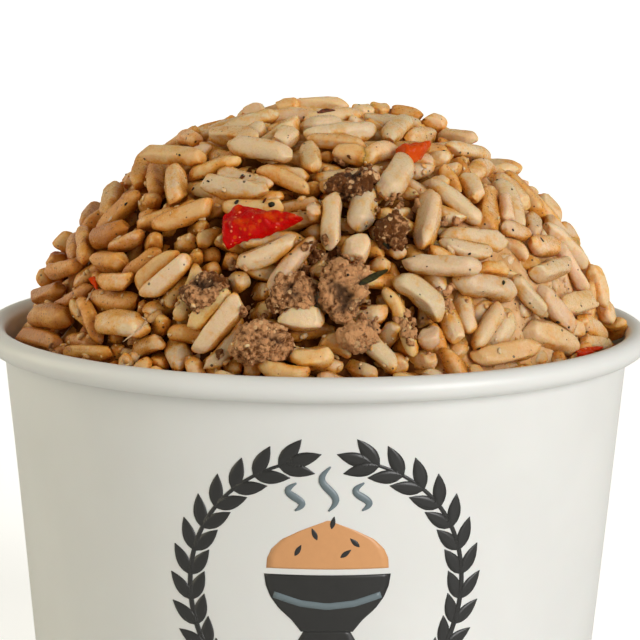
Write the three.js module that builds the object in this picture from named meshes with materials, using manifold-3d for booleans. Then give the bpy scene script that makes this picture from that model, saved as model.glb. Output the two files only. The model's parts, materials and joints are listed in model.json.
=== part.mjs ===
// A paper food container heaped with dirty rice. The container is a white paper cup with a rolled
// rim and a recessed base. Long-grain rice fills it and domes up above the rim. Pieces of red pepper
// and crumbles of ground meat sit in the surface of the dome.
//
// Millimetres, +Z up. The origin is the centre of the ring that the container stands on.

import * as THREE from "three";
import { mergeVertices } from "three/addons/utils/BufferGeometryUtils.js";
import Module from "manifold-3d";

const wasm = await Module();
wasm.setup();

// ---- Driving dimensions: the container -------------------------------------------------------

const RIM_DIAMETER = 96; // over the rolled rim
const BASE_DIAMETER = 79.4; // at the foot
const CUP_HEIGHT = 62;
const CURL_DIAMETER = 3.3; // the rolled rim, seen in section
const CURL_SWEEP = 300; // degrees that the rim is rolled through
const PAPER = 0.45; // coated board
const FOOT_FOLD = 1.4; // width of the folded foot ring that the container stands on
const FOOT_HEIGHT = 7; // height of that ring, and so the depth of the recess under the base
const FOOT_ROUNDING = 0.25;
const GAP = 0.3; // clearance between pieces that touch

// ---- Driving dimensions: the rice ------------------------------------------------------------

const DOME_RADIUS = 39.5; // at the level of the rim
const DOME_HEIGHT = 31.4; // above the rim
const RICE_EDGE_DROP = 3; // how far below the rim the rice meets the wall
const SKIRT_WIDTH = 4.5; // the rice spreads by this much where it meets the wall
const SKIRT_FADE = 6; // height over which that spread dies away
const LUMPS = 150; // swellings in the outline, each about as wide as a grain is long
const LUMP_REACH = 3.2;
const LUMP_RISE = 0.95;

// Where the heap as a whole is fuller or slacker than a dome. A place is an angle round the
// container, from +X, and an angle up from the centre of the rim.
const SHOULDERS = [
  { around: 180, up: 24, reach: 7.5, rise: -1.9 },
  { around: 180, up: 39, reach: 6.5, rise: -1.3 },
  { around: 0, up: 6, reach: 10, rise: 1.5 },
  { around: 0, up: 28, reach: 6, rise: 0.7 },
  { around: 0, up: 48, reach: 5, rise: -0.7 },
];

// ---- Driving dimensions: what shows on the rice ----------------------------------------------

// A size is length, width and thickness. A place is an angle round the container, from +X, and an
// angle up from the centre of the rim. turn slants the length from level, and proud is how far the
// middle stands out of the smooth heap.
const PEPPERS = [
  { name: "red_pepper_front", size: [10.8, 5.2, 2.2], around: -102, up: 28, turn: 8, proud: 0.1 },
  { name: "red_pepper_top", size: [5.0, 3.2, 1.4], around: -53.3, up: 50.2, turn: 12, proud: 0.0 },
];
const CRUMBLES = [
  { name: "meat_crumble_front", size: [8.0, 6.0, 5.4], around: -100.3, up: 4.8, turn: 10, proud: -1.1 },
  { name: "meat_crumble_middle", size: [6.4, 5.4, 5.0], around: -94.6, up: 14.2, turn: -20, proud: -1.2 },
  { name: "meat_crumble_pale", size: [8.2, 7.4, 5.6], around: -84.2, up: 14.4, turn: 60, proud: -1.0 },
  { name: "meat_crumble_small", size: [4.8, 4.2, 4.2], around: -81.6, up: 6.4, turn: 0, proud: -0.9 },
  { name: "meat_crumble_dark", size: [5.6, 4.8, 4.6], around: -71.1, up: 27.9, turn: 70, proud: -1.5 },
  { name: "meat_crumble_upper", size: [6.8, 5.2, 4.8], around: -80.6, up: 40.7, turn: 0, proud: -1.6 },
  { name: "meat_crumble_left", size: [6.4, 5.0, 4.8], around: -113.0, up: 13.5, turn: 35, proud: -1.4 },
];

// ---- Fineness --------------------------------------------------------------------------------

const ROUND_STEPS = 64;
const CURL_STEPS = 8;
const DOME_RINGS = 18;
const CRUMBLE_DETAIL = 2;

// ---- Materials -------------------------------------------------------------------------------

const paper = new THREE.MeshStandardMaterial({ color: 0xeceae4, roughness: 0.5, metalness: 0 });
const rice = new THREE.MeshStandardMaterial({ color: 0xcfa877, roughness: 0.5, metalness: 0 });
const meat = new THREE.MeshStandardMaterial({ color: 0x7d5c45, roughness: 0.6, metalness: 0 });
const pepper = new THREE.MeshStandardMaterial({ color: 0xc41a0c, roughness: 0.3, metalness: 0 });

// ---- Helpers ---------------------------------------------------------------------------------

const radians = THREE.MathUtils.degToRad;

// A repeatable stream of numbers from 0 to 1.
function seeded(seed) {
  let state = seed;
  return () => {
    state = (state * 1664525 + 1013904223) % 4294967296;
    return state / 4294967296;
  };
}

// Turns a profile of [radius, height] pairs into a solid of revolution about Z.
function turned(profile) {
  const points = profile.map(([radius, height]) => new THREE.Vector2(radius, height));
  return new THREE.LatheGeometry(points, ROUND_STEPS).rotateX(Math.PI / 2);
}

// Only positions are kept, so that a closed mesh has one vertex at each corner.
function bare(geometry) {
  const copy = geometry.clone();
  copy.deleteAttribute("normal");
  copy.deleteAttribute("uv");
  return mergeVertices(copy, 1e-4);
}

function toSolid(geometry) {
  const merged = bare(geometry);
  return new wasm.Manifold(
    new wasm.Mesh({
      numProp: 3,
      vertProperties: merged.attributes.position.array,
      triVerts: new Uint32Array(merged.index.array),
    }),
  );
}

function toGeometry(solid) {
  const { vertProperties, triVerts } = solid.getMesh();
  const geometry = new THREE.BufferGeometry();
  geometry.setAttribute("position", new THREE.BufferAttribute(vertProperties, 3));
  geometry.setIndex(new THREE.BufferAttribute(triVerts, 1));
  geometry.computeVertexNormals();
  return geometry;
}

function named(name, geometry, material) {
  const mesh = new THREE.Mesh(geometry, material);
  mesh.name = name;
  return mesh;
}

// ---- The container ---------------------------------------------------------------------------

const curlRadius = CURL_DIAMETER / 2;
const curlCentre = { radius: RIM_DIAMETER / 2 - curlRadius, height: CUP_HEIGHT - curlRadius };
const wallTopRadius = curlCentre.radius - curlRadius + PAPER;
const wallSlope = (wallTopRadius - BASE_DIAMETER / 2) / curlCentre.height;

const outerWall = (height) => BASE_DIAMETER / 2 + wallSlope * height;
const innerWall = (height) => outerWall(height) - PAPER;

// Points round the curl at one radius, from the wall side over the top towards the tucked edge.
function curlArc(radius) {
  return Array.from({ length: CURL_STEPS + 1 }, (_, step) => {
    const angle = Math.PI - radians(CURL_SWEEP) * (step / CURL_STEPS);
    return [
      curlCentre.radius + radius * Math.cos(angle),
      curlCentre.height + radius * Math.sin(angle),
    ];
  });
}

// The side wall: a cone of board, rolled outwards at the rim and folded double at the foot.
function cupWall() {
  const footInside = BASE_DIAMETER / 2 - FOOT_FOLD;
  const profile = [
    [footInside + FOOT_ROUNDING, 0],
    [BASE_DIAMETER / 2 - FOOT_ROUNDING, 0],
    [outerWall(FOOT_ROUNDING), FOOT_ROUNDING],
    [outerWall(CUP_HEIGHT / 2), CUP_HEIGHT / 2],
    ...curlArc(curlRadius - PAPER),
    ...curlArc(curlRadius).reverse(),
    [innerWall(CUP_HEIGHT / 2), CUP_HEIGHT / 2],
    [innerWall(FOOT_HEIGHT), FOOT_HEIGHT],
    [footInside, FOOT_HEIGHT],
    [footInside, FOOT_ROUNDING],
    [footInside + FOOT_ROUNDING, 0],
  ];
  return turned(profile);
}

// The base: a disc of board that sits on the folded foot ring, inside the wall.
const baseUnderside = FOOT_HEIGHT + GAP;
const baseTop = baseUnderside + PAPER;

function cupBase() {
  return turned([
    [0, baseUnderside],
    [innerWall(baseUnderside) - GAP, baseUnderside],
    [innerWall(baseTop) - GAP, baseTop],
    [0, baseTop],
  ]);
}

// ---- The rice --------------------------------------------------------------------------------

// Radius of the smooth heap at a height above the rim, from the edge of the rice up to the top.
function heapRadius(aboveRim) {
  const share = Math.min(1, Math.max(0, aboveRim) / DOME_HEIGHT);
  const dome = DOME_RADIUS * Math.sqrt(1 - share * share);
  const skirt = SKIRT_WIDTH * Math.exp(-(aboveRim + RICE_EDGE_DROP) / SKIRT_FADE);
  return dome + skirt * Math.sqrt(1 - share);
}

// The point of the smooth heap that lies at two angles from the centre of the rim.
function heapPoint(around, up) {
  const along = (distance) =>
    new THREE.Vector3(
      distance * Math.cos(up) * Math.cos(around),
      distance * Math.cos(up) * Math.sin(around),
      CUP_HEIGHT + distance * Math.sin(up),
    );
  let inside = 0;
  let outside = RIM_DIAMETER;
  for (let halving = 0; halving < 40; halving++) {
    const distance = (inside + outside) / 2;
    const aboveRim = distance * Math.sin(up);
    const covered = aboveRim < DOME_HEIGHT && distance * Math.cos(up) < heapRadius(aboveRim);
    if (covered) inside = distance;
    else outside = distance;
  }
  return along(inside);
}

// Lumps spread evenly over the dome along a spiral, each rising or sinking by its own amount.
function makeLumps() {
  const random = seeded(7);
  const goldenAngle = Math.PI * (3 - Math.sqrt(5));
  return Array.from({ length: LUMPS }, (_, i) => {
    const up = Math.asin((i + 0.5) / LUMPS);
    const around = i * goldenAngle;
    const height = DOME_HEIGHT * Math.sin(up);
    const radius = heapRadius(height);
    const centre = new THREE.Vector3(
      radius * Math.cos(around),
      radius * Math.sin(around),
      CUP_HEIGHT + height,
    );
    return { centre, reach: LUMP_REACH, rise: LUMP_RISE * (2 * random() - 1) };
  });
}

const shoulders = SHOULDERS.map(({ around, up, reach, rise }) => ({
  centre: heapPoint(radians(around), radians(up)),
  reach,
  rise,
}));
const swellings = [...makeLumps(), ...shoulders];

// How far the uneven outline stands out from the smooth heap. It fades out where the wall is near.
function unevenness(point) {
  const overRim = THREE.MathUtils.smoothstep(point.z, CUP_HEIGHT - RICE_EDGE_DROP, CUP_HEIGHT + 2);
  let total = 0;
  for (const { centre, reach, rise } of swellings) {
    total += rise * Math.exp(-point.distanceToSquared(centre) / reach ** 2);
  }
  return overRim * total;
}

function riceHeap() {
  const bottom = baseTop + GAP;
  const edge = CUP_HEIGHT - RICE_EDGE_DROP;
  const profile = [
    [0, bottom],
    [innerWall(bottom) - GAP, bottom],
    [innerWall(edge) - GAP, edge],
    [Math.min(heapRadius(-RICE_EDGE_DROP / 2), innerWall(edge) - GAP), edge + RICE_EDGE_DROP / 2],
  ];
  for (let ring = 0; ring <= DOME_RINGS; ring++) {
    const aboveRim = DOME_HEIGHT * Math.sin((Math.PI / 2) * (ring / DOME_RINGS));
    profile.push([ring < DOME_RINGS ? heapRadius(aboveRim) : 0, CUP_HEIGHT + aboveRim]);
  }
  const heap = bare(turned(profile));
  const position = heap.attributes.position;
  const middle = new THREE.Vector3(0, 0, CUP_HEIGHT - DOME_HEIGHT / 2);
  const point = new THREE.Vector3();
  const outward = new THREE.Vector3();
  for (let i = 0; i < position.count; i++) {
    point.fromBufferAttribute(position, i);
    outward.subVectors(point, middle).normalize();
    point.addScaledVector(outward, unevenness(point));
    position.setXYZ(i, point.x, point.y, point.z);
  }
  return heap;
}

// ---- What shows on the rice ------------------------------------------------------------------

// The matrix that lays a piece on the heap: its X level and then turned, its Z pointing outwards.
function onHeap({ around, up, turn, proud }) {
  const angle = radians(around);
  const rise = radians(up);
  const step = 0.02;
  const point = heapPoint(angle, rise);
  const level = heapPoint(angle + step, rise).sub(heapPoint(angle - step, rise)).normalize();
  const uphill = heapPoint(angle, rise + step).sub(heapPoint(angle, rise - step)).normalize();
  const outward = level.clone().cross(uphill).normalize();
  const sideways = outward.clone().cross(level);
  return new THREE.Matrix4()
    .makeBasis(level, sideways, outward)
    .setPosition(point.addScaledVector(outward, proud))
    .multiply(new THREE.Matrix4().makeRotationZ(radians(turn)));
}

// A diced wedge of pepper: blunt at one end, drawn out to a tip at the other. spare grows it.
function pepperWedge([length, width, thickness], spare) {
  const rounding = 0.4;
  const blunt = -length / 2 - spare + rounding;
  const tip = length / 2 + spare - rounding;
  const half = width / 2 + spare - rounding;
  const outline = new THREE.Shape();
  outline.moveTo(blunt, -half);
  outline.quadraticCurveTo(0, -half * 0.75, tip, half * 0.25);
  outline.lineTo(tip, half * 0.7);
  outline.quadraticCurveTo(0, half * 0.9, blunt + width * 0.25, half);
  outline.closePath();
  const depth = thickness + 2 * spare - 2 * rounding;
  return new THREE.ExtrudeGeometry(outline, {
    depth,
    curveSegments: 6,
    bevelThickness: rounding,
    bevelSize: rounding,
    bevelSegments: 2,
  }).translate(0, 0, -depth / 2);
}

// A crumble of ground meat: an uneven ball, drawn out to its three sizes. spare grows it.
function crumble([length, width, thickness], spare) {
  const random = seeded(Math.round(length * 100 + width));
  const waves = Array.from({ length: 7 }, () => ({
    direction: new THREE.Vector3(random() - 0.5, random() - 0.5, random() - 0.5).multiplyScalar(9),
    phase: random() * Math.PI * 2,
  }));
  const ball = bare(new THREE.IcosahedronGeometry(1, CRUMBLE_DETAIL));
  const position = ball.attributes.position;
  const point = new THREE.Vector3();
  for (let i = 0; i < position.count; i++) {
    point.fromBufferAttribute(position, i);
    let swell = 1;
    for (const { direction, phase } of waves) swell += 0.035 * Math.sin(point.dot(direction) + phase);
    point.multiplyScalar(swell);
    position.setXYZ(i, point.x, point.y, point.z);
  }
  return ball.scale(length / 2 + spare, width / 2 + spare, thickness / 2 + spare);
}

// ---- Assembly --------------------------------------------------------------------------------

const POCKET = 0.4; // how much wider than its piece each pocket in the rice is

const toppings = [
  ...PEPPERS.map((piece) => ({ ...piece, shape: pepperWedge, material: pepper })),
  ...CRUMBLES.map((piece) => ({ ...piece, shape: crumble, material: meat })),
];

let heap = toSolid(riceHeap());
for (const piece of toppings) {
  heap = heap.subtract(toSolid(piece.shape(piece.size, POCKET).applyMatrix4(onHeap(piece))));
}

const group = new THREE.Group();
group.add(named("cup_wall", cupWall(), paper));
group.add(named("cup_base", cupBase(), paper));
group.add(named("rice_heap", toGeometry(heap), rice));
for (const piece of toppings) {
  const mesh = named(piece.name, bare(piece.shape(piece.size, 0)), piece.material);
  mesh.applyMatrix4(onHeap(piece));
  group.add(mesh);
}

export default group;
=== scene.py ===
"""Dirty rice heaped in a white paper cup: rice grains, ground meat, red pepper, herbs and spice.

Laid out as an add-on, and run as a script. Every piece is built from named sizes, in the frame of
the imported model. The heap is worked out in millimetres and turned into metres when meshes are made.
"""

import functools
import math
from collections import namedtuple

import bmesh
import bpy
import numpy as np
from mathutils import Matrix, Vector, noise
from mathutils.bvhtree import BVHTree
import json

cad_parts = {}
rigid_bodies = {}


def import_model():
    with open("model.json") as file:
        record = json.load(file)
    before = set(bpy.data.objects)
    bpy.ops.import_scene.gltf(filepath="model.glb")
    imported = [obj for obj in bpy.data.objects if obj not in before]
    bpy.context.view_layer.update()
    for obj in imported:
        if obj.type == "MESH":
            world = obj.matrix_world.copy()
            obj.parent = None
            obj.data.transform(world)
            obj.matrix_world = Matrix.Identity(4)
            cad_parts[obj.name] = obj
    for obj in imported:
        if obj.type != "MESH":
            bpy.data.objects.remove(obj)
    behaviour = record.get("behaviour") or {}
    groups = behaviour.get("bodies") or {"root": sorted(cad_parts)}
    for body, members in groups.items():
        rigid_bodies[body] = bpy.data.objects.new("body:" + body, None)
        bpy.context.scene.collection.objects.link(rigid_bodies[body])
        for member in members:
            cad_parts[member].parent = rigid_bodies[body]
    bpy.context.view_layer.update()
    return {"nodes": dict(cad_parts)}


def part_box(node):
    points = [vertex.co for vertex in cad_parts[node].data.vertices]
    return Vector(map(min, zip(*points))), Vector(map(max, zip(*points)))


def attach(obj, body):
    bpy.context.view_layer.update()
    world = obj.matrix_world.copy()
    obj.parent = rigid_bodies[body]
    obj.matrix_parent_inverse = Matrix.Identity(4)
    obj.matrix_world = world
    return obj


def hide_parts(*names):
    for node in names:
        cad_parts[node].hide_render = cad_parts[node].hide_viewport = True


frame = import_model()

bl_info = {
    "name": "Dirty Rice in a Paper Cup",
    "version": (1, 0, 0),
    "blender": (4, 5, 0),
    "location": "View3D > Sidebar > Dirty Rice",
    "description": "Builds a paper cup heaped with dirty rice",
    "category": "Object",
}

MM = 0.001


def box_mm(node):
    """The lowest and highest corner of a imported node, in millimetres."""
    return [np.array(corner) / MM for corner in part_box(node)]


# ---- Sizes taken from the frame ----------------------------------------------------------------

CUP_HIGH = box_mm("cup_wall")[1]
HEAP_LOW, HEAP_HIGH = box_mm("rice_heap")
BASE_LOW, BASE_HIGH = box_mm("cup_base")
RIM_HEIGHT = CUP_HIGH[2]
RIM_RADIUS = CUP_HIGH[0]

# The middle of the ball that the dome is nearly a part of.
BALL_CENTRE = np.array([0.0, 0.0, RIM_HEIGHT - 12.0])

# ---- The photograph's view ---------------------------------------------------------------------

PHOTO_SIDE = 640  # pixels
AIM_POINT = np.array([0.595, 0.0, 61.62])
CAMERA_DISTANCE = 330.0
CAMERA_ELEVATION = math.radians(9.358)
CAMERA_ROLL = math.radians(0.525)
FOCAL_PIXELS = 2267.66
SENSOR_WIDTH = 36.0

VIEW_BACK = np.array([0.0, -math.cos(CAMERA_ELEVATION), math.sin(CAMERA_ELEVATION)])
VIEW_RIGHT = np.array([1.0, 0.0, 0.0])
VIEW_UP = np.cross(VIEW_BACK, VIEW_RIGHT)
CAMERA_PLACE = AIM_POINT + VIEW_BACK * CAMERA_DISTANCE


def photo_ray(x, y):
    """Unit direction from the camera through a pixel of the photograph."""
    across = x - PHOTO_SIDE / 2
    down = y - PHOTO_SIDE / 2
    level = across * math.cos(CAMERA_ROLL) + down * math.sin(CAMERA_ROLL)
    drop = -across * math.sin(CAMERA_ROLL) + down * math.cos(CAMERA_ROLL)
    ray = -VIEW_BACK * FOCAL_PIXELS + VIEW_RIGHT * level - VIEW_UP * drop
    return ray / np.linalg.norm(ray)


# ---- Small helpers -----------------------------------------------------------------------------


def unit(vectors):
    length = np.linalg.norm(vectors, axis=-1, keepdims=True)
    return vectors / np.maximum(length, 1e-9)


def smooth(low, high, values):
    """0 at low, 1 at high, with an eased step between."""
    share = np.clip((values - low) / (high - low), 0.0, 1.0)
    return share * share * (3 - 2 * share)


def ripple(random, places, wavelength, waves=6):
    """Smooth noise of about -1 to 1 over places of shape (count, ..., 3), its own for each row."""
    count = len(places)
    direction = unit(random.normal(size=(count, waves, 3)))
    pace = 2 * np.pi / wavelength * random.uniform(0.65, 1.35, (count, waves, 1))
    phase = random.uniform(0, 2 * np.pi, (count, 1, waves))
    flat = places.reshape(count, -1, 3)
    angle = flat @ (direction * pace).transpose(0, 2, 1) + phase
    return (np.sin(angle).sum(-1) * math.sqrt(1.2 / waves)).reshape(places.shape[:-1])


def lumpy(random, places, size):
    """Smooth noise about -1 to 1 for an array of pieces, in lumps of about a size."""
    start = random.uniform(0, 500, (len(places),) + (1,) * (places.ndim - 2) + (3,))
    flat = (places / size + start).reshape(-1, 3)
    return np.array([noise.noise(point) for point in flat.tolist()]).reshape(places.shape[:-1])


def direction(turn, rise):
    """Unit directions from angles round Z and above level."""
    return np.stack([np.cos(rise) * np.cos(turn), np.cos(rise) * np.sin(turn), np.sin(rise)], axis=-1)


def linked(obj):
    bpy.context.scene.collection.objects.link(obj)
    return obj


def mesh_object(name, points, faces, material, attributes=None, shade_smooth=True):
    """An object from points in millimetres. faces is an array of triangles or of quads, or a list
    of such arrays. attributes holds point values by name: floats, or colours in rows of three."""
    batches = faces if isinstance(faces, list) else [faces]
    mesh = bpy.data.meshes.new(name)
    corners = np.concatenate([batch.ravel() for batch in batches]).astype(np.int32)
    sizes = np.concatenate([np.full(len(batch), batch.shape[1]) for batch in batches])
    starts = np.concatenate([[0], np.cumsum(sizes)[:-1]]).astype(np.int32)
    mesh.vertices.add(len(points))
    mesh.vertices.foreach_set("co", (points * MM).astype(np.float32).ravel())
    mesh.loops.add(len(corners))
    mesh.loops.foreach_set("vertex_index", corners)
    mesh.polygons.add(len(sizes))
    mesh.polygons.foreach_set("loop_start", starts)
    mesh.polygons.foreach_set("use_smooth", np.full(len(sizes), shade_smooth))
    mesh.update(calc_edges=True)
    mesh.validate()
    for key, values in (attributes or {}).items():
        if values.ndim == 1:
            layer = mesh.attributes.new(key, "FLOAT", "POINT")
            layer.data.foreach_set("value", values.astype(np.float32))
        else:
            layer = mesh.attributes.new(key, "FLOAT_COLOR", "POINT")
            opaque = np.concatenate([values, np.ones((len(values), 1))], axis=1)
            layer.data.foreach_set("color", opaque.astype(np.float32).ravel())
    mesh.materials.append(material)
    return linked(bpy.data.objects.new(name, mesh))


def belongs(obj, slot, *nodes):
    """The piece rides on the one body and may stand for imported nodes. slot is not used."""
    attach(obj, "root")
    if nodes:
        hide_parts(*nodes)
    return obj


def lathe(profile, segments):
    """Points and quads of a closed profile of (radius, height), turned about Z."""
    profile = np.array(profile, float)
    turn = np.linspace(0, 2 * np.pi, segments, endpoint=False)
    radius, height = profile[:, 0], profile[:, 1]
    points = np.stack(
        [
            np.outer(np.cos(turn), radius),
            np.outer(np.sin(turn), radius),
            np.tile(height, (segments, 1)),
        ],
        axis=-1,
    )
    count = len(profile)
    i, j = np.meshgrid(np.arange(segments), np.arange(count), indexing="ij")
    i_next, j_next = (i + 1) % segments, (j + 1) % count
    quads = np.stack(
        [i * count + j, i_next * count + j, i_next * count + j_next, i * count + j_next], axis=-1
    )
    return points.reshape(-1, 3), quads.reshape(-1, 4)


# ---- Node groups shared by the materials -------------------------------------------------------


class Shader:
    """A short way to add nodes to a material or a group, and to link them."""

    def __init__(self, tree):
        self.tree = tree

    def node(self, kind, values=None, **options):
        node = self.tree.nodes.new(kind)
        for key, value in options.items():
            setattr(node, key, value)
        for key, value in (values or {}).items():
            if isinstance(value, bpy.types.NodeSocket):
                self.tree.links.new(value, node.inputs[key])
            else:
                node.inputs[key].default_value = value
        return node

    def link(self, source, target):
        self.tree.links.new(source, target)

    def math(self, operation, first, second=None):
        values = {0: first} if second is None else {0: first, 1: second}
        return self.node("ShaderNodeMath", values, operation=operation).outputs[0]

    def plus(self, base, value, share):
        """base and a share of value."""
        return self.math("ADD", base, self.math("MULTIPLY", value, share))

    def mix(self, factor, first, second, blend="MIX"):
        values = {0: factor, 6: first, 7: second}
        return self.node("ShaderNodeMix", values, data_type="RGBA", blend_type=blend).outputs[2]

    def spread(self, value, low, high, start=0.0, end=1.0):
        """value from low to high becomes start to end, eased and held at both."""
        values = dict(enumerate((value, low, high, start, end)))
        return self.node("ShaderNodeMapRange", values, interpolation_type="SMOOTHSTEP").outputs[0]

    def tint(self, body, mask, colour, share=1.0):
        """body with a colour over it where the mask is, up to a share."""
        return self.mix(self.math("MULTIPLY", mask, share), body, rgba(colour))

    def attribute(self, name, output="Fac"):
        return self.node("ShaderNodeAttribute", attribute_name=name).outputs[output]

    def mottle(self, scale, contrast):
        return use_group(self, "mottle", scale=scale, contrast=contrast)

    def specks(self, scale, size, share):
        return use_group(self, "specks", scale=scale, size=size, share=share)


def new_group(name, inputs, outputs):
    """An empty node group with float inputs and their defaults, and float outputs."""
    group = bpy.data.node_groups.new(name, "ShaderNodeTree")
    for label, default in inputs.items():
        socket = group.interface.new_socket(label, in_out="INPUT", socket_type="NodeSocketFloat")
        socket.default_value = default
    for label in outputs:
        group.interface.new_socket(label, in_out="OUTPUT", socket_type="NodeSocketFloat")
    shader = Shader(group)
    return group, shader, shader.node("NodeGroupInput"), shader.node("NodeGroupOutput")


def mottle_group():
    """Soft patches, from 0 to 1. Scale is patches to the metre."""
    group, shader, given, result = new_group("Mottle", {"Scale": 400.0, "Contrast": 1.0}, ["Value"])
    place = shader.node("ShaderNodeTexCoord").outputs["Object"]
    cloud = shader.node(
        "ShaderNodeTexNoise",
        {"Vector": place, "Scale": given.outputs["Scale"], "Detail": 3.0, "Roughness": 0.6},
    )
    centred = shader.math("SUBTRACT", cloud.outputs["Fac"], 0.5)
    strong = shader.math("MULTIPLY", centred, given.outputs["Contrast"])
    value = shader.math("ADD", strong, 0.5)
    shader.link(value, result.inputs["Value"])
    return group


def specks_group():
    """Fine specks of spice, 1 on a speck. Size is the share of its cell that a speck fills."""
    inputs = {"Scale": 900.0, "Size": 0.2, "Share": 0.3}
    group, shader, given, result = new_group("Spice specks", inputs, ["Mask"])
    place = shader.node("ShaderNodeTexCoord").outputs["Object"]
    cells = shader.node(
        "ShaderNodeTexVoronoi",
        {"Vector": place, "Scale": given.outputs["Scale"], "Randomness": 1.0},
        feature="F1",
    )
    picked = shader.node("ShaderNodeSeparateColor", {"Color": cells.outputs["Color"]})
    chosen = shader.math("LESS_THAN", picked.outputs["Red"], given.outputs["Share"])
    own_size = shader.math("MULTIPLY", given.outputs["Size"], picked.outputs["Green"])
    inside = shader.math("SUBTRACT", own_size, cells.outputs["Distance"])
    edge = shader.spread(inside, 0.0, 0.06)
    shader.link(shader.math("MULTIPLY", edge, chosen), result.inputs["Mask"])
    return group


def crumbly_group():
    """The uneven height of something granular, at a coarse and a fine scale."""
    inputs = {"Scale": 1200.0, "Fine": 0.35}
    group, shader, given, result = new_group("Crumbly height", inputs, ["Height"])
    place = shader.node("ShaderNodeTexCoord").outputs["Object"]
    coarse = shader.node(
        "ShaderNodeTexNoise",
        {"Vector": place, "Scale": given.outputs["Scale"], "Detail": 2.0, "Roughness": 0.5},
    )
    fine_scale = shader.math("MULTIPLY", given.outputs["Scale"], 3.7)
    fine = shader.node(
        "ShaderNodeTexNoise",
        {"Vector": place, "Scale": fine_scale, "Detail": 3.0, "Roughness": 0.6},
    )
    small = shader.math("MULTIPLY", fine.outputs["Fac"], given.outputs["Fine"])
    shader.link(shader.math("ADD", coarse.outputs["Fac"], small), result.inputs["Height"])
    return group


@functools.cache
def shared(name):
    """A shared node group, made when it is first asked for."""
    makers = {"mottle": mottle_group, "specks": specks_group, "crumbly": crumbly_group}
    return makers[name]()


def use_group(shader, name, **values):
    node = shader.node("ShaderNodeGroup", node_tree=shared(name))
    for key, value in values.items():
        node.inputs[key.capitalize()].default_value = value
    return node.outputs[0]


def new_material(name, **sockets):
    """A material with one Principled BSDF, its plain values set on its own sockets."""
    material = bpy.data.materials.new(name)
    material.use_nodes = True
    material.node_tree.nodes.clear()
    shader = Shader(material.node_tree)
    surface = shader.node("ShaderNodeBsdfPrincipled")
    for key, value in sockets.items():
        surface.inputs[key.replace("_", " ")].default_value = value
    output = shader.node("ShaderNodeOutputMaterial")
    shader.link(surface.outputs[0], output.inputs["Surface"])
    return material, shader, surface


def join_up(shader, surface, body, rough, relief):
    """Joins up a material: its colour; its roughness, as the least, a mask and the mask's share; and
    its relief, as lumps to the metre, the share of finer ones, strength and depth in millimetres."""
    shader.link(body, surface.inputs["Base Color"])
    if rough:
        shader.link(shader.plus(*rough), surface.inputs["Roughness"])
    scale, fine, strength, depth = relief
    height = use_group(shader, "crumbly", scale=scale, fine=fine)
    values = {"Strength": strength, "Distance": depth * MM, "Height": height}
    shader.link(shader.node("ShaderNodeBump", values).outputs[0], surface.inputs["Normal"])


# ---- The heap's surface ------------------------------------------------------------------------


class HeapSurface:
    """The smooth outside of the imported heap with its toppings, as a distance from BALL_CENTRE."""

    AROUND_STEPS = 240
    UP_STEPS = 70
    LOWEST = math.radians(-4)

    def __init__(self):
        trees = [self.tree(obj) for name, obj in frame["nodes"].items() if "cup" not in name]
        around = np.linspace(-np.pi, np.pi, self.AROUND_STEPS, endpoint=False)
        up = np.linspace(self.LOWEST, np.pi / 2, self.UP_STEPS)
        self.distance = np.zeros((self.AROUND_STEPS, self.UP_STEPS))
        start = 2 * RIM_RADIUS
        for i, turn in enumerate(around):
            for j, rise in enumerate(up):
                out = np.array(
                    [
                        math.cos(rise) * math.cos(turn),
                        math.cos(rise) * math.sin(turn),
                        math.sin(rise),
                    ]
                )
                origin = Vector((BALL_CENTRE + out * start) * MM)
                hits = [tree.ray_cast(origin, Vector(-out))[3] for tree in trees]
                nearest = min(hit for hit in hits if hit is not None)
                self.distance[i, j] = start - nearest / MM

    @staticmethod
    def tree(obj):
        mesh = obj.data
        return BVHTree.FromPolygons([v.co for v in mesh.vertices], [p.vertices for p in mesh.polygons])

    def reach(self, direction):
        """Distance from BALL_CENTRE to the surface along unit directions."""
        turn = np.arctan2(direction[..., 1], direction[..., 0])
        rise = np.arcsin(np.clip(direction[..., 2], -1, 1))
        u = (turn + np.pi) / (2 * np.pi) * self.AROUND_STEPS
        v = (rise - self.LOWEST) / (np.pi / 2 - self.LOWEST) * (self.UP_STEPS - 1)
        v = np.clip(v, 0, self.UP_STEPS - 1.001)
        i, j = np.floor(u).astype(int), np.floor(v).astype(int)
        s, t = u - i, v - j
        i, i_next = i % self.AROUND_STEPS, (i + 1) % self.AROUND_STEPS
        low = self.distance[i, j] * (1 - s) + self.distance[i_next, j] * s
        high = self.distance[i, j + 1] * (1 - s) + self.distance[i_next, j + 1] * s
        return low * (1 - t) + high * t

    def depth(self, points):
        """How far points lie under the surface, and the outward directions there."""
        offset = points - BALL_CENTRE
        distance = np.linalg.norm(offset, axis=-1)
        outward = offset / np.maximum(distance, 1e-9)[..., None]
        return self.reach(outward) - distance, outward

    def seen_at(self, x, y, depth=0.0):
        """Where the ray through a pixel gets to a depth under the surface, or as near as it gets."""
        steps = np.arange(CAMERA_DISTANCE - 1.5 * RIM_RADIUS, CAMERA_DISTANCE + RIM_RADIUS, 0.2)
        points = CAMERA_PLACE + photo_ray(x, y) * steps[:, None]
        reached, _ = self.depth(points)
        inside = np.nonzero(reached >= depth)[0]
        return points[inside[0] if len(inside) else np.argmax(reached)]


# ---- The rice grains that stand out in the photograph ------------------------------------------

# Both ends of a grain and its width in pixels of the photograph, its finish, and how far it lies
# below the heap's outside, in millimetres. A whole grain that looks short points into the heap, and
# its second end is the one that shows; one of the shape short lies as it looks.
Seen = namedtuple("Seen", "x0 y0 x1 y1 width finish sunk shape", defaults=("whole",))

# Many grains that lie in shade have the darker brown finish, which on them is painted shade.
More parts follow.
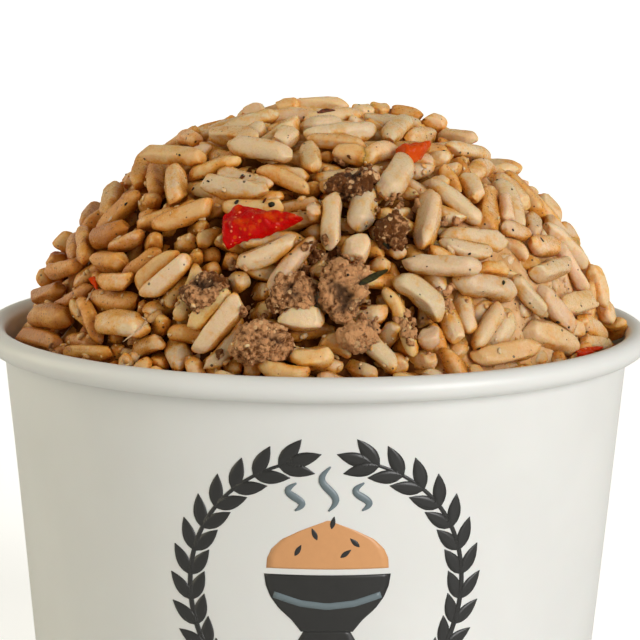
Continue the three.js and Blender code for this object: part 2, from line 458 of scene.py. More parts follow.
SEEN_GRAINS = (
    # the outline, from left to right
    (33, 298, 62, 289, 18, "brown", 0.6), (46, 272, 82, 264, 14, "orange", 0.4),
    (52, 270, 62, 247, 12, "golden", 0.3), (60, 248, 74, 234, 13, "tan", 0.3),
    (84, 228, 97, 206, 14, "tan", 0.2), (106, 217, 116, 184, 20, "pale", 0.0),
    (124, 188, 127, 172, 13, "brown", 0.8), (137, 188, 147, 154, 19, "golden", 0.0),
    (140, 153, 208, 160, 18, "golden", -0.2), (180, 137, 198, 141, 13, "orange", 0.2),
    (197, 128, 240, 120, 14, "tan", 0.0), (225, 115, 250, 109, 11, "tan", 0.3),
    (248, 112, 291, 108, 16, "golden", 0.2), (289, 105, 350, 105, 13, "tan", 0.4),
    (352, 105, 372, 110, 11, "orange", 0.5), (371, 109, 389, 111, 14, "orange", -0.2, "short"),
    (392, 112, 420, 113, 12, "tan", 0.3), (413, 121, 436, 130, 15, "tan", 0.2),
    (430, 127, 453, 128, 12, "tan", 0.4), (437, 134, 477, 140, 14, "tan", 0.2),
    (446, 148, 490, 157, 16, "pale", 0.0), (488, 152, 522, 171, 14, "tan", 0.2),
    (512, 181, 537, 192, 15, "pale", 0.2), (532, 191, 551, 198, 13, "orange", 0.1),
    # the upper left
    (208, 134, 260, 138, 17, "tan", 0.3), (225, 146, 294, 156, 21, "pale", -0.2, "cut"),
    (211, 156, 238, 162, 19, "brown", 2.2), (174, 166, 177, 202, 23, "pale", -0.5),
    (156, 162, 155, 198, 14, "tan", 0.8), (198, 181, 270, 194, 21, "pale", -0.2),
    (216, 172, 276, 187, 13, "pink", 1.2), (251, 123, 268, 124, 11, "pale", 0.5),
    (262, 137, 277, 127, 14, "orange", 0.6), (273, 144, 296, 131, 20, "pale", 0.2, "broken"),
    (133, 199, 158, 199, 17, "golden", 0.5), (155, 206, 173, 204, 18, "orange", 0.7),
    (136, 238, 159, 237, 18, "pale", 0.4), (133, 236, 150, 211, 24, "coated", 0.1),
    (93, 239, 128, 228, 25, "coated", 0.1), (194, 212, 231, 197, 23, "coated", 0.0),
    (187, 222, 187, 203, 15, "brown", 1.0), (178, 225, 206, 223, 12, "tan", 0.5),
    (156, 226, 175, 225, 12, "orange", 1.8), (159, 214, 178, 214, 15, "brown", 2.6),
    (168, 241, 190, 238, 21, "pale", 0.3), (190, 246, 217, 254, 19, "pale", 0.5),
    # the left
    (75, 262, 76, 234, 9, "golden", 0.4), (84, 263, 84, 228, 14, "golden", 0.6),
    (61, 258, 73, 254, 11, "pink", 0.5), (126, 262, 93, 261, 21, "tan", 0.6),
    (132, 281, 97, 281, 17, "tan", 0.3), (122, 277, 163, 250, 16, "brown", 0.5),
    (135, 288, 181, 250, 16, "orange", 0.3), (142, 298, 190, 256, 20, "pale", -0.1),
    (55, 311, 92, 286, 16, "brown", 0.6), (90, 299, 140, 304, 22, "brown", 0.8),
    (31, 315, 72, 319, 25, "pale", 0.0, "cut"), (95, 322, 147, 328, 26, "pale", -0.2, "cut"),
    (18, 335, 63, 346, 18, "brown", 0.6), (84, 312, 86, 340, 20, "brown", 1.6),
    (66, 342, 97, 344, 15, "brown", 2.6), (62, 353, 113, 353, 14, "tan", 0.9),
    (97, 338, 120, 338, 12, "orange", 1.6), (125, 319, 146, 304, 16, "brown", 1.0),
    (160, 331, 194, 314, 19, "tan", 1.0), (152, 346, 158, 369, 19, "golden", 0.4),
    # the lower middle
    (167, 333, 182, 369, 24, "pale", 0.0), (188, 329, 232, 291, 19, "golden", -1.4),
    (197, 355, 243, 297, 23, "pale", -0.5), (190, 269, 218, 266, 19, "golden", 0.5),
    (221, 257, 232, 257, 14, "brown", 1.4), (222, 281, 246, 279, 21, "pale", 0.2),
    (246, 287, 272, 291, 18, "pale", 0.4), (247, 309, 272, 308, 21, "golden", 0.6),
    (212, 361, 240, 365, 21, "tan", 0.9), (242, 366, 255, 366, 17, "pink", 0.5),
    (256, 368, 312, 374, 16, "orange", 0.2), (278, 316, 325, 320, 27, "pale", -0.3, "cut"),
    (286, 336, 340, 326, 17, "brown", 1.8), (288, 361, 336, 355, 22, "golden", 0.0, "cut"),
    (316, 346, 352, 349, 20, "tan", 0.1, "bent"), (343, 361, 376, 376, 19, "tan", 0.3),
    (364, 359, 410, 366, 22, "tan", 0.6), (383, 345, 396, 324, 20, "pale", 0.2),
    # the middle
    (234, 266, 300, 236, 21, "pale", -0.3), (277, 263, 306, 258, 15, "brown", 2.4),
    (271, 204, 320, 202, 19, "pink", 0.1), (307, 218, 323, 208, 18, "pale", 0.1, "broken"),
    (296, 226, 319, 232, 19, "pink", 1.0), (333, 192, 331, 251, 23, "pale", -0.2),
    (368, 184, 357, 232, 24, "pale", -0.3), (362, 234, 350, 262, 27, "pale", -0.5, "broken"),
    (374, 220, 404, 257, 20, "pink", 0.2), (366, 272, 388, 259, 18, "tan", 0.4),
    (311, 251, 320, 248, 10, "pale", 0.4), (313, 259, 324, 270, 12, "orange", 0.5),
    (342, 184, 350, 200, 12, "tan", 0.9), (323, 185, 335, 200, 13, "brown", 1.0),
    (384, 196, 408, 157, 24, "pale", -0.3),
    # the top
    (292, 119, 315, 121, 18, "golden", 0.4), (300, 119, 364, 116, 13, "tan", 0.2),
    (302, 136, 377, 130, 20, "pale", 0.0), (316, 145, 331, 157, 15, "orange", 1.0),
    (307, 143, 314, 171, 16, "tan", 0.3), (332, 152, 372, 160, 20, "orange", 0.2, "cut"),
    (362, 158, 400, 148, 19, "tan", 0.1), (384, 140, 410, 118, 20, "pale", -0.1),
    (405, 137, 434, 135, 12, "tan", 0.5), (262, 174, 309, 175, 13, "tan", 0.9),
    (289, 186, 321, 186, 17, "golden", 0.2),
    # the upper right
    (421, 158, 446, 156, 18, "pale", 0.1), (447, 153, 470, 163, 12, "tan", 0.5),
    (426, 168, 459, 169, 13, "pale", 0.3), (458, 170, 482, 171, 14, "tan", 0.4),
    (420, 181, 448, 181, 14, "pale", 0.2), (447, 185, 478, 187, 15, "brown", 0.5),
    (472, 168, 490, 169, 11, "pink", 0.4), (490, 168, 515, 168, 13, "tan", 0.4),
    (441, 199, 470, 204, 18, "golden", 0.2), (448, 220, 478, 217, 13, "brown", 1.2),
    (434, 188, 421, 250, 24, "pink", 0.0), (487, 187, 487, 231, 26, "pink", 0.0),
    (497, 178, 519, 232, 23, "pale", -0.1), (534, 213, 534, 236, 17, "pale", 0.2),
    # the lower right
    (441, 236, 507, 242, 23, "pale", -0.2), (399, 262, 484, 266, 21, "pale", -0.2),
    (486, 263, 511, 258, 20, "pink", 0.6), (510, 247, 537, 268, 18, "pale", 0.0),
    (529, 245, 557, 246, 18, "pink", 0.0), (530, 276, 571, 262, 22, "pale", -0.2),
    (452, 280, 520, 293, 25, "pale", -0.3), (523, 280, 530, 315, 19, "pale", -0.1),
    (548, 284, 540, 316, 19, "pink", 0.2), (557, 310, 594, 299, 22, "tan", 0.1),
    (576, 252, 590, 290, 19, "pink", 0.3), (590, 262, 605, 310, 15, "tan", 0.3),
    (538, 196, 561, 222, 16, "tan", 0.1, "short"), (559, 222, 575, 249, 15, "pink", 0.1, "short"),
    (571, 245, 585, 268, 14, "tan", 0.3, "short"), (556, 232, 573, 246, 15, "pink", 0.5),
    (602, 296, 611, 325, 12, "tan", 0.2, "short"), (57, 250, 73, 233, 12, "golden", 0.1, "short"),
    (560, 319, 581, 331, 15, "tan", 0.4), (394, 276, 445, 316, 26, "pale", -0.4),
    (371, 303, 404, 300, 24, "pale", 0.1), (469, 331, 486, 303, 22, "pale", 0.0),
    (458, 329, 461, 359, 24, "pale", 0.0), (495, 350, 511, 311, 26, "pale", -0.4),
    (428, 326, 430, 350, 23, "pink", 0.2, "broken"), (409, 363, 437, 360, 19, "tan", 0.4),
    (400, 345, 414, 345, 17, "orange", 0.5), (473, 350, 489, 350, 14, "orange", 1.2),
    (432, 367, 470, 369, 12, "brown", 1.0), (468, 361, 540, 347, 22, "orange", 0.1),
    (522, 328, 579, 348, 25, "tan", 0.0), (541, 346, 545, 361, 12, "pink", 0.4),
    (582, 342, 611, 346, 15, "tan", 0.3), (578, 319, 606, 338, 18, "tan", 0.5),
    (612, 334, 630, 326, 18, "golden", 0.3), (611, 317, 631, 324, 14, "golden", 0.0),
    (50, 270, 62, 252, 13, "tan", 0.1, "short"),
    # the gaps along the top
    (243, 114, 266, 110, 12, "tan", 0.2, "short"), (40, 286, 50, 269, 12, "golden", 0.2, "short"),
    (352, 111, 374, 112, 13, "tan", 0.3, "short"), (390, 113, 424, 118, 14, "brown", 0.4, "short"),
    (421, 120, 447, 126, 13, "tan", 0.2, "short"), (276, 107, 300, 105, 13, "golden", 0.5, "short"),
)


# ---- Laying out the rice -----------------------------------------------------------------------

BEADS = 7  # points along a grain at which it touches its neighbours
BEAD_SHARE = np.linspace(-0.86, 0.86, BEADS)
BEAD_GIRTH = 1 - 0.42 * BEAD_SHARE**2
HEAP_RADIUS = 44.0  # about how far the heap's outside is from its ball's centre at the rim
HEAP_SHELL = 7.5  # thickness of the heap that real grains fill, over the core
LOWEST_GRAIN = RIM_HEIGHT - 7.5
FULLER = 1.27  # what the flats and tapers take off a grain's width is added first
LONGEST = 11.2  # a grain that would be longer runs less far away from the camera
SHORTEST_WHOLE = 7.0  # a grain that looks shorter than this, and isn't broken, points inwards


class Grains:
    """Rice grains as arrays with a row for each grain, in millimetres."""

    def __init__(self, rows):
        for name in rows[0]:
            setattr(self, name, np.array([row[name] for row in rows]))
        self.count = len(rows)
        self.axis = unit(self.axis)
        self.straighten()

    def part(self, chosen):
        """Some of the grains, as a copy."""
        some = Grains.__new__(Grains)
        for name, values in vars(self).items():
            setattr(some, name, values if name == "count" else values[chosen])
        some.count = int(chosen.sum())
        return some

    def straighten(self):
        """Keeps axis and side square to each other."""
        self.axis = unit(self.axis)
        along = (self.side * self.axis).sum(-1, keepdims=True)
        self.side = unit(self.side - along * self.axis)

    def arms(self):
        """From each grain's centre to its beads."""
        along = BEAD_SHARE[None, :] * self.length[:, None] / 2
        aside = self.bow[:, None] * (1 - BEAD_SHARE[None, :] ** 2 - 0.5)
        return along[..., None] * self.axis[:, None] + aside[..., None] * self.side[:, None]

    def beads(self):
        return self.centre[:, None] + self.arms()

    def girths(self):
        return self.radius[:, None] * BEAD_GIRTH[None, :]


def grain_row(centre, axis, facing, **own):
    """A row for Grains; the grain bows in the direction that is square to its axis and to facing."""
    return {"centre": centre, "axis": axis, "side": np.cross(facing, axis), **own}


def seen_rows(surface, random):
    """The grains that stand out in the photograph, laid on the heap under their pixels."""
    rows = []
    for seen in (Seen(*row) for row in SEEN_GRAINS):
        ends = [surface.seen_at(seen.x0, seen.y0), surface.seen_at(seen.x1, seen.y1)]
        middle = (ends[0] + ends[1]) / 2
        _, outward = surface.depth(middle)
        distance = np.linalg.norm(middle - CAMERA_PLACE)
        radius = max(seen.width * distance / FOCAL_PIXELS, 2.4) / 2 * FULLER
        sunk = radius * 0.9 + seen.sunk
        lowered = [surface.seen_at(seen.x0, seen.y0, sunk), surface.seen_at(seen.x1, seen.y1, sunk)]
        length = np.linalg.norm(lowered[1] - lowered[0])
        if length > LONGEST:
            away = unit(lowered[0] - CAMERA_PLACE)
            back = (lowered[1] - lowered[0]) @ away
            least = math.sqrt(max(LONGEST**2 - length**2 + back**2, 0.0))
            far = 1 if back > 0 else 0
            lowered[far] = lowered[far] - away * (abs(back) - least)
            length = np.linalg.norm(lowered[1] - lowered[0])
        if length < SHORTEST_WHOLE and seen.shape == "whole":
            inwards = math.sqrt(SHORTEST_WHOLE**2 - length**2)
            lowered[0] = lowered[0] - unit(outward + VIEW_BACK) * inwards
            length = SHORTEST_WHOLE
        axis = unit(lowered[1] - lowered[0])
        bow = random.normal(0, 0.3)
        if seen.shape == "bent":
            bow = 1.5
        centre = (lowered[0] + lowered[1]) / 2
        facing = outward + 0.8 * unit(CAMERA_PLACE - centre)
        own = {"finish": seen.finish, "shape": seen.shape, "held": True, "bow": bow, "cover": 0.0}
        own.update(length=length, radius=radius)
        rows.append(grain_row(centre, axis, facing, **own))
    return rows


FINISH_SHARES = {
    "pale": 0.30,
    "tan": 0.30,
    "golden": 0.10,
    "pink": 0.12,
    "brown": 0.10,
    "orange": 0.04,
    "coated": 0.04,
}
BROKEN_SHARE = 0.12
CUT_SHARE = 0.14
BROKEN_LENGTHS = (4.2, 6.8)
COVERED = 2.5  # where the photograph shows the heap, the others' middles lie this deep or deeper
UNCOVERED = 1.4  # elsewhere they lie this deep or deeper
DEEPEST = 4.9  # and no deeper than this
PASTY_LAYER = 2.0  # thickness of the layer that they lie in where the heap is pasty
TRIES = 14  # places tried for each of them
SHOWN = 0.12  # how far a part of the heap must face the camera to count as shown


def pastiness(outward):
    """From 0 where the grains lie open to 1 where paste fills the heap between them."""
    right = smooth(0.15, 0.65, outward[..., 0]) * smooth(-0.6, -0.1, -outward[..., 1])
    patches = np.sin(5 * outward[..., 0] + 2) * np.sin(4 * outward[..., 1] + 1)
    patches = patches + outward[..., 2] * 0.3
    behind = smooth(0.0, 0.5, outward[..., 1]) * smooth(0.0, 0.6, patches)
    top = 0.75 * smooth(0.84, 0.96, outward[..., 2])
    return 0.9 * np.maximum(np.maximum(right, behind), top)


def filling_rows(surface, settings, random, seen):
    """Grains at random through the shell, each put where there is the most room."""
    taken = [row["centre"] for row in seen]
    rows = []
    names = list(FINISH_SHARES)
    shares = np.array(list(FINISH_SHARES.values()))
    lowest = (LOWEST_GRAIN - BALL_CENTRE[2]) / HEAP_RADIUS
    for _ in range(settings.grain_count):
        turn = random.uniform(-np.pi, np.pi, TRIES)
        rise = np.arcsin(random.uniform(lowest, 1.0, TRIES))
        outward = direction(turn, rise)
        shown = outward @ VIEW_BACK > SHOWN
        pasty = pastiness(outward)
        shallowest = np.where(shown, COVERED - 1.0 * pasty, UNCOVERED)
        deepest = np.where(pasty > 0.4, shallowest + PASTY_LAYER, DEEPEST)
        depth = shallowest + random.uniform(0, 1, TRIES) * (deepest - shallowest)
        places = BALL_CENTRE + outward * (surface.reach(outward) - depth)[:, None]
        gaps = np.linalg.norm(places[:, None] - np.array(taken)[None], axis=-1).min(axis=1)
        best = int(np.argmax(gaps * (1 + 0.2 * pasty)))
        taken.append(places[best])
        # turned across the view where the photograph shows the heap: few grains there point at it
        levels = unit(np.cross(outward[best], random.normal(size=(7, 3))))
        least = 0.4 if shown[best] else 1.0
        level = levels[np.argmin(np.maximum(np.abs(levels @ VIEW_BACK), least))]
        tilt = random.normal(0, math.radians(12 if shown[best] else 20))
        axis = level * math.cos(tilt) + outward[best] * math.sin(tilt)
        length = random.normal(settings.grain_length / MM, 0.8)
        radius = random.normal(settings.grain_width / MM, 0.20) / 2
        chance = random.random()
        shape = "cut" if chance < BROKEN_SHARE + CUT_SHARE else "whole"
        if chance < BROKEN_SHARE:
            shape = "broken"
            length = random.uniform(*BROKEN_LENGTHS)
        finish = names[random.choice(len(names), p=shares / shares.sum())]
        bow = random.normal(0, 0.45)
        cover = shallowest[best] if shown[best] else 0.0
        own = {"finish": finish, "shape": shape, "held": False, "bow": bow, "cover": cover}
        own.update(length=length, radius=radius)
        rows.append(grain_row(places[best], axis, outward[best], **own))
    return rows


def near_pairs(grains, reach):
    """Pairs of grains whose beads come within reach of touching."""
    beads = grains.beads()
    centre_gap = np.linalg.norm(grains.centre[:, None] - grains.centre[None], axis=-1)
    longest = (grains.length[:, None] + grains.length[None]) / 2 + 2 * grains.radius.max() + reach
    first, second = np.nonzero(np.triu(centre_gap < longest, 1))
    gap = np.linalg.norm(beads[first][:, :, None] - beads[second][:, None], axis=-1)
    touch = grains.girths()[first][:, :, None] + grains.girths()[second][:, None]
    close = (gap - touch).min(axis=(1, 2)) < reach
    return first[close], second[close]


RELAX_STEPS = 170
CLOSENESS = 0.93  # neighbours may press into each other by the rest
CROWDED = 1.2  # how far grains may lie in each other before one is left out, in millimetres


def relax(grains, surface, balls, ball_radii):
    """Moves and turns the grains until they no longer lie in each other or stand out of the heap."""
    girths = grains.girths()
    home = grains.centre.copy()
    towards_view = unit(CAMERA_PLACE - home)
    sunk = np.zeros(grains.count)
    deepest = -1.5 + 0.8 * pastiness(surface.depth(home)[1])[grains.held]
    first = second = None
    for step in range(RELAX_STEPS):
        if step % 8 == 0:
            first, second = near_pairs(grains, 1.2)
        beads = grains.beads()
        move = np.zeros_like(beads)
        apart = beads[first][:, :, None] - beads[second][:, None]
        gap = np.linalg.norm(apart, axis=-1)
        touch = CLOSENESS * (girths[first][:, :, None] + girths[second][:, None])
        press = np.maximum(touch - gap, 0)
        push = apart / np.maximum(gap, 1e-6)[..., None] * (press * 0.5)[..., None]
        for axis in range(3):
            flat_first = push[..., axis].sum(axis=2)
            flat_second = push[..., axis].sum(axis=1)
            for k in range(BEADS):
                move[:, k, axis] += np.bincount(first, flat_first[:, k], grains.count)
                move[:, k, axis] -= np.bincount(second, flat_second[:, k], grains.count)
        for ball, radius in zip(balls, ball_radii):
            away = beads - ball
            gap = np.linalg.norm(away, axis=-1)
            press = np.maximum(radius + girths * 0.9 - gap, 0)
            move += away / np.maximum(gap, 1e-6)[..., None] * press[..., None]
        depth, outward = surface.depth(beads)
        proud = np.maximum(np.maximum(girths * 0.96, grains.cover[:, None]) - depth, 0)
        deep = np.maximum(depth + girths - HEAP_SHELL - 1.0, 0)
        move += outward * (deep - proud)[..., None]
        low = np.maximum(LOWEST_GRAIN - beads[..., 2], 0)
        move[..., 2] += low
        arms = grains.arms()
        shift = move.mean(axis=1) * 0.9
        stiffness = np.maximum((arms**2).sum(axis=(1, 2)), 1e-6)
        turn = np.cross(arms, move).sum(axis=1) / stiffness[:, None]
        free = ~grains.held
        grains.centre[free] += shift[free]
        for name in ("axis", "side"):
            vectors = getattr(grains, name)
            vectors[free] += np.cross(turn[free], vectors[free]) * 0.9
        held = grains.held
        into = (shift * towards_view).sum(axis=-1)
        sunk[held] = np.clip(sunk[held] + 0.5 * into[held], deepest, 0.25)
        grains.centre[held] = home[held] + towards_view[held] * sunk[held][:, None]
        grains.straighten()
    return grains.part(~crowded(grains))


def crowded(grains):
    """Which of the filling grains still lie well inside another."""
    beads, girths = grains.beads(), grains.girths()
    first, second = near_pairs(grains, 0.0)
    gap = np.linalg.norm(beads[first][:, :, None] - beads[second][:, None], axis=-1)
    overlap = (girths[first][:, :, None] + girths[second][:, None] - gap).max(axis=(1, 2))
    out = np.zeros(grains.count, bool)
    for k in np.argsort(-overlap):
        a, b = first[k], second[k]
        if overlap[k] < CROWDED:
            break  # the rest overlap less
        if out[a] or out[b] or (grains.held[a] and grains.held[b]):
            continue
        out[a if grains.held[b] or grains.length[a] < grains.length[b] else b] = True
    out &= ~grains.held
    return out


# ---- Shaping the grains ------------------------------------------------------------------------

# How pointed the ends are, as the lowest and highest power of each of two curves.
BLUNTNESS = (2.1, 3.9)
ROUNDNESS = (0.49, 0.66)
# Directions of the flats round a grain, from its side; the first faces out of the heap.
FLATS = tuple(math.radians(angle) for angle in (90, 168, 12, -60, -125))
END_FLATS = 3


def grain_points(grains, rings, segments, random):
    """Points of every grain as an array of grain, ring, segment and axis, and the shares along."""
    count = grains.count
    share = -np.cos(np.linspace(0, np.pi, rings + 2)[1:-1])
    share = share * (1 - 0.10 * (1 - share**2))
    around = np.linspace(0, 2 * np.pi, segments, endpoint=False)
    t = np.broadcast_to(share[None, :, None], (count, rings, segments))
    phi = np.broadcast_to(around[None, None, :], (count, rings, segments))

    def own(low, high):
        return random.uniform(low, high, count)[:, None, None]

    def ends(low, high):
        return np.where(t < 0, own(low, high), own(low, high))

    fullness = np.maximum(1 - np.abs(t) ** ends(*BLUNTNESS), 0) ** ends(*ROUNDNESS)
    radius = grains.radius[:, None, None]
    girth = radius * fullness * (1 + own(-0.14, 0.14) * t)
    across = girth * np.cos(phi)
    through = girth * np.sin(phi) * own(0.80, 1.0)
    along = t * grains.length[:, None, None] / 2

    # the tips lie aside, as the germ's end of a grain does
    across = across + radius * ends(-0.42, 0.42) * np.abs(t) ** 3
    through = through + radius * ends(-0.30, 0.30) * np.abs(t) ** 3

    # flattened sides, where the grain was pressed while it was soft
    for direction in FLATS:
        angle = direction + own(-0.45, 0.45) + own(-0.3, 0.3) * t
        limit = radius * own(0.58, 0.86) * (1 - own(-0.1, 0.2) * np.abs(t))
        facing = across * np.cos(angle) + through * np.sin(angle)
        excess = np.maximum(facing - limit, 0) * 0.92
        across = across - excess * np.cos(angle)
        through = through - excess * np.sin(angle)
    for sign in (-1, 1):
        for _ in range(END_FLATS):
            angle = own(0, 6.3)
            lean = own(0.55, 1.1)
            limit = grains.length[:, None, None] / 2 * np.cos(lean) * own(0.74, 0.90)
            limit = limit + radius * np.sin(lean) * own(0.25, 0.50)
            aside = across * np.cos(angle) + through * np.sin(angle)
            facing = sign * along * np.cos(lean) + aside * np.sin(lean)
            excess = np.maximum(facing - limit, 0) * 0.85
            along = along - sign * excess * np.cos(lean)
            across = across - excess * np.sin(lean) * np.cos(angle)
            through = through - excess * np.sin(lean) * np.sin(angle)

    # ends cut or broken off on a slant, with a torn face
    cut_end = np.isin(grains.shape, ("cut", "broken"))
    both = (grains.shape == "broken") & (random.random(count) < 0.4)
    for sign, affected in ((-1, cut_end), (1, both)):
        slant = own(-0.8, 0.8)
        slant_up = own(-0.5, 0.5)
        limit = grains.length[:, None, None] / 2 * own(0.78, 0.94)
        limit = np.where(affected[:, None, None], limit, 1e6)
        scale = np.sqrt(1 + slant**2 + slant_up**2)
        facing = (sign * along + slant * across + slant_up * through) / scale
        places = np.stack([along * 0.2, across, through], axis=-1)
        torn = 0.12 * ripple(random, places, 1.1)
        excess = np.maximum(facing - limit / scale - torn, 0)
        along = along - sign * excess / scale
        across = across - slant * excess / scale
        through = through - slant_up * excess / scale

    # an uneven skin: long swells, short lumps and, towards the ends, rags
    places = np.stack([along * 0.6, across, through], axis=-1)
    skin = 0.12 * own(0.4, 1.4) * lumpy(random, places, 2.2)
    skin = skin + 0.085 * own(0.2, 1.6) * lumpy(random, places, 1.0)
    crust = np.where(grains.finish == "coated", 2.0, 1.0)[:, None, None]
    ragged = 1 + 1.1 * np.abs(t) ** 4
    out = unit(np.stack([across, through], axis=-1))
    swell = skin * crust * ragged * np.minimum(girth / radius * 1.6, 1.0)
    across = across + out[..., 0] * swell
    through = through + out[..., 1] * swell

    third = np.cross(grains.axis, grains.side)
    bowed = grains.bow[:, None, None] * (1 - t**2 - 0.5)
    points = (
        grains.centre[:, None, None]
        + along[..., None] * grains.axis[:, None, None]
        + (across + bowed)[..., None] * grains.side[:, None, None]
        + through[..., None] * third[:, None, None]
    )
    return points, t


def lump_points(centres, frames, halves, rings, segments, rough, random):
    """Points of uneven lumps: centres, the rows of frames as their axes, and half sizes on those."""
    share = np.linspace(0, np.pi, rings + 2)[1:-1][:, None]
    around = np.linspace(0, 2 * np.pi, segments, endpoint=False)[None, :]
    ball = np.stack(
        [
            np.cos(share) + 0 * around,
            np.sin(share) * np.cos(around),
            np.sin(share) * np.sin(around),
        ],
        axis=-1,
    )
    local = ball[None] * halves[:, None, None, :]
    size = halves.mean(axis=1)[:, None, None, None]
    relative = local / size
    swell = 1 + rough * (0.6 * ripple(random, relative, 2.6) + 0.4 * ripple(random, relative, 1.2))
    return centres[:, None, None] + np.einsum("nrsk,nkx->nrsx", local * swell[..., None], frames)


def random_frames(outward, random):
    """For each outward direction, two random directions along the surface and the outward one."""
    first = unit(np.cross(outward, random.normal(size=outward.shape)))
    return np.stack([first, np.cross(outward, first), outward], axis=1)


def press_together(points, chosen, grains, reach=1.1):
    """Flattens the chosen grains where they lie in others. Returns how near each point is to one."""
    beads, girths = grains.beads(), grains.girths()
    first, second = near_pairs(grains, reach)
    neighbours = [[] for _ in range(grains.count)]
    for a, b in zip(first, second):
        neighbours[a].append(b)
        neighbours[b].append(a)
    gaps = np.full(points.shape[:-1], 9.0)
    shape = points.shape[1:-1]
    for i, grain in enumerate(np.nonzero(chosen)[0]):
        others = neighbours[grain]
        if not others:
            continue
        own = points[i].reshape(-1, 3)
        away = own[:, None] - beads[others].reshape(-1, 3)[None]
        distance = np.linalg.norm(away, axis=-1)
        gap = distance - girths[others].reshape(-1)[None]
        nearest = gap.argmin(axis=1)
        rows = np.arange(len(own))
        least = gap[rows, nearest]
        push = np.minimum(np.maximum(-least, 0) * 0.55, 0.5)
        direction = away[rows, nearest] / np.maximum(distance[rows, nearest], 1e-6)[:, None]
        points[i] = (own + direction * push[:, None]).reshape(*shape, 3)
        gaps[i] = least.reshape(shape)
    return gaps


def grain_faces(count, rings, segments):
    """Quads between the rings of every grain, and triangles to the two tips."""
    per_grain = rings * segments + 2
    ring, segment = np.meshgrid(np.arange(rings - 1), np.arange(segments), indexing="ij")
    here = ring * segments + segment
    beside = ring * segments + (segment + 1) % segments
    quads = np.stack([here, beside, beside + segments, here + segments], axis=-1).reshape(-1, 4)
    s = np.arange(segments)
    s_next = (s + 1) % segments
    low_tip, high_tip = rings * segments, rings * segments + 1
    last = (rings - 1) * segments
    low = np.stack([np.full(segments, low_tip), s_next, s], axis=-1)
    high = np.stack([np.full(segments, high_tip), last + s, last + s_next], axis=-1)
    shift = (np.arange(count) * per_grain)[:, None, None]
    return [
        (quads[None] + shift).reshape(-1, 4),
        (np.concatenate([low, high])[None] + shift).reshape(-1, 3),
    ]


def with_tips(points, values):
    """Adds a vertex at each tip, the middle of the last ring moved a little outwards."""
    count = len(points)
    first, last = points[:, 0].mean(axis=1), points[:, -1].mean(axis=1)
    flat = points.reshape(count, -1, 3)
    all_points = np.concatenate([flat, first[:, None], last[:, None]], axis=1).reshape(-1, 3)
    all_values = {}
    for key, value in values.items():
        flat_value = value.reshape(count, -1)
        tips = [value[:, 0].mean(axis=1)[:, None], value[:, -1].mean(axis=1)[:, None]]
        all_values[key] = np.concatenate([flat_value, *tips], axis=1).ravel()
    return all_points, all_values


# ---- What the operators share ------------------------------------------------------------------


@functools.cache
def heap_surface():
    return HeapSurface()


TOPPING_NODES = [name for name in frame["nodes"] if name.startswith(("meat", "red_pepper"))]


def other_crumbles(settings):
    """Centres and radii of the crumbles that the photograph doesn't show, round the back."""
    random = np.random.default_rng(settings.seed + 9)
    surface = heap_surface()
    spots, outward = spots_behind(surface, random, 40)
    chosen = []
    for spot, out in zip(spots, outward):
        radius = random.uniform(2.0, 3.6)
        centre = spot - out * radius * 0.85
        if all(np.linalg.norm(centre - other) > 11 for other, _ in chosen):
            chosen.append((centre, radius))
    return chosen


def topping_balls(settings):
    """Balls that fill the toppings, for the rice to keep out of."""
    balls, radii = [], []
    for name in TOPPING_NODES:
        low, high = box_mm(name)
        size = high - low
        if name.startswith("meat"):
            balls.append((low + high) / 2)
            radii.append(size.mean() / 2 * 0.72)
            continue
        long_way = np.array([size[0], 0.0, 0.0])
        for share in (-0.3, -0.1, 0.1, 0.3):
            balls.append((low + high) / 2 + long_way * share)
            radii.append(1.2)
    for centre, radius in other_crumbles(settings):
        balls.append(centre)
        radii.append(radius)
    return balls, radii


# ---- Materials ---------------------------------------------------------------------------------


def rgba(colour):
    return (*colour, 1.0)


def rice_material(settings):
    material, shader, surface = new_material(
        "Moist rice",
        Coat_Weight=0.10,
        Coat_Roughness=0.20,
        Subsurface_Weight=0.6,
        Subsurface_Radius=(1.0, 0.45, 0.16),
        Subsurface_Scale=1.5 * MM,
        IOR=1.40,
        Specular_IOR_Level=0.5,
    )
    own = shader.attribute("grain_colour", "Color")
    coated = shader.attribute("coated")
    patches = shader.mottle(430.0, 2.0)
    small_patches = shader.mottle(1500.0, 2.2)
    fine_patches = shader.mottle(4200.0, 1.6)

    # the starch shows paler in spots, and over it lies an uneven film of sauce and painted shade
    lighter = shader.mix(0.5, own, rgba(settings.starch_colour))
    body = shader.mix(shader.spread(small_patches, 0.45, 1.1), own, lighter)
    # painted: the film is heavier where the surface turns away from the view, standing in for light
    # through a grain's edges
    edge = shader.node("ShaderNodeLayerWeight", {"Blend": 0.32}).outputs["Facing"]
    film = shader.plus(shader.attribute("sauce"), shader.math("SUBTRACT", patches, 0.43), 0.75)
    film = shader.plus(film, shader.math("SUBTRACT", small_patches, 0.50), 0.45)
    film = shader.plus(film, edge, 0.45)
    film = shader.plus(film, coated, 0.30)
    # the film's tint and the sauce's colour paint both sauce and shade
    thin = shader.mix(1.0, body, rgba(settings.film_and_shade_tint), "MULTIPLY")
    body = shader.mix(shader.spread(film, 0.08, 0.75), body, thin)
    body = shader.mix(shader.spread(film, 0.50, 1.50), body, rgba(settings.sauce_and_shade_colour))

    gritty = shader.spread(shader.plus(film, coated, 0.5), 0.15, 1.1, 0.03, 0.85)
    grit = shader.math("MULTIPLY", shader.specks(2700.0, 0.52, 0.40), gritty)
    body = shader.tint(body, grit, settings.grit_colour)
    fine, coarse = shader.specks(1500.0, 0.34, 0.10), shader.specks(620.0, 0.16, 0.07)
    marks = shader.math("MAXIMUM", fine, coarse)
    body = shader.tint(body, marks, settings.speck_colour, 0.85)
    join_up(shader, surface, body, (0.17, fine_patches, 0.26), (1600.0, 0.5, 0.9, 0.15))
    return material


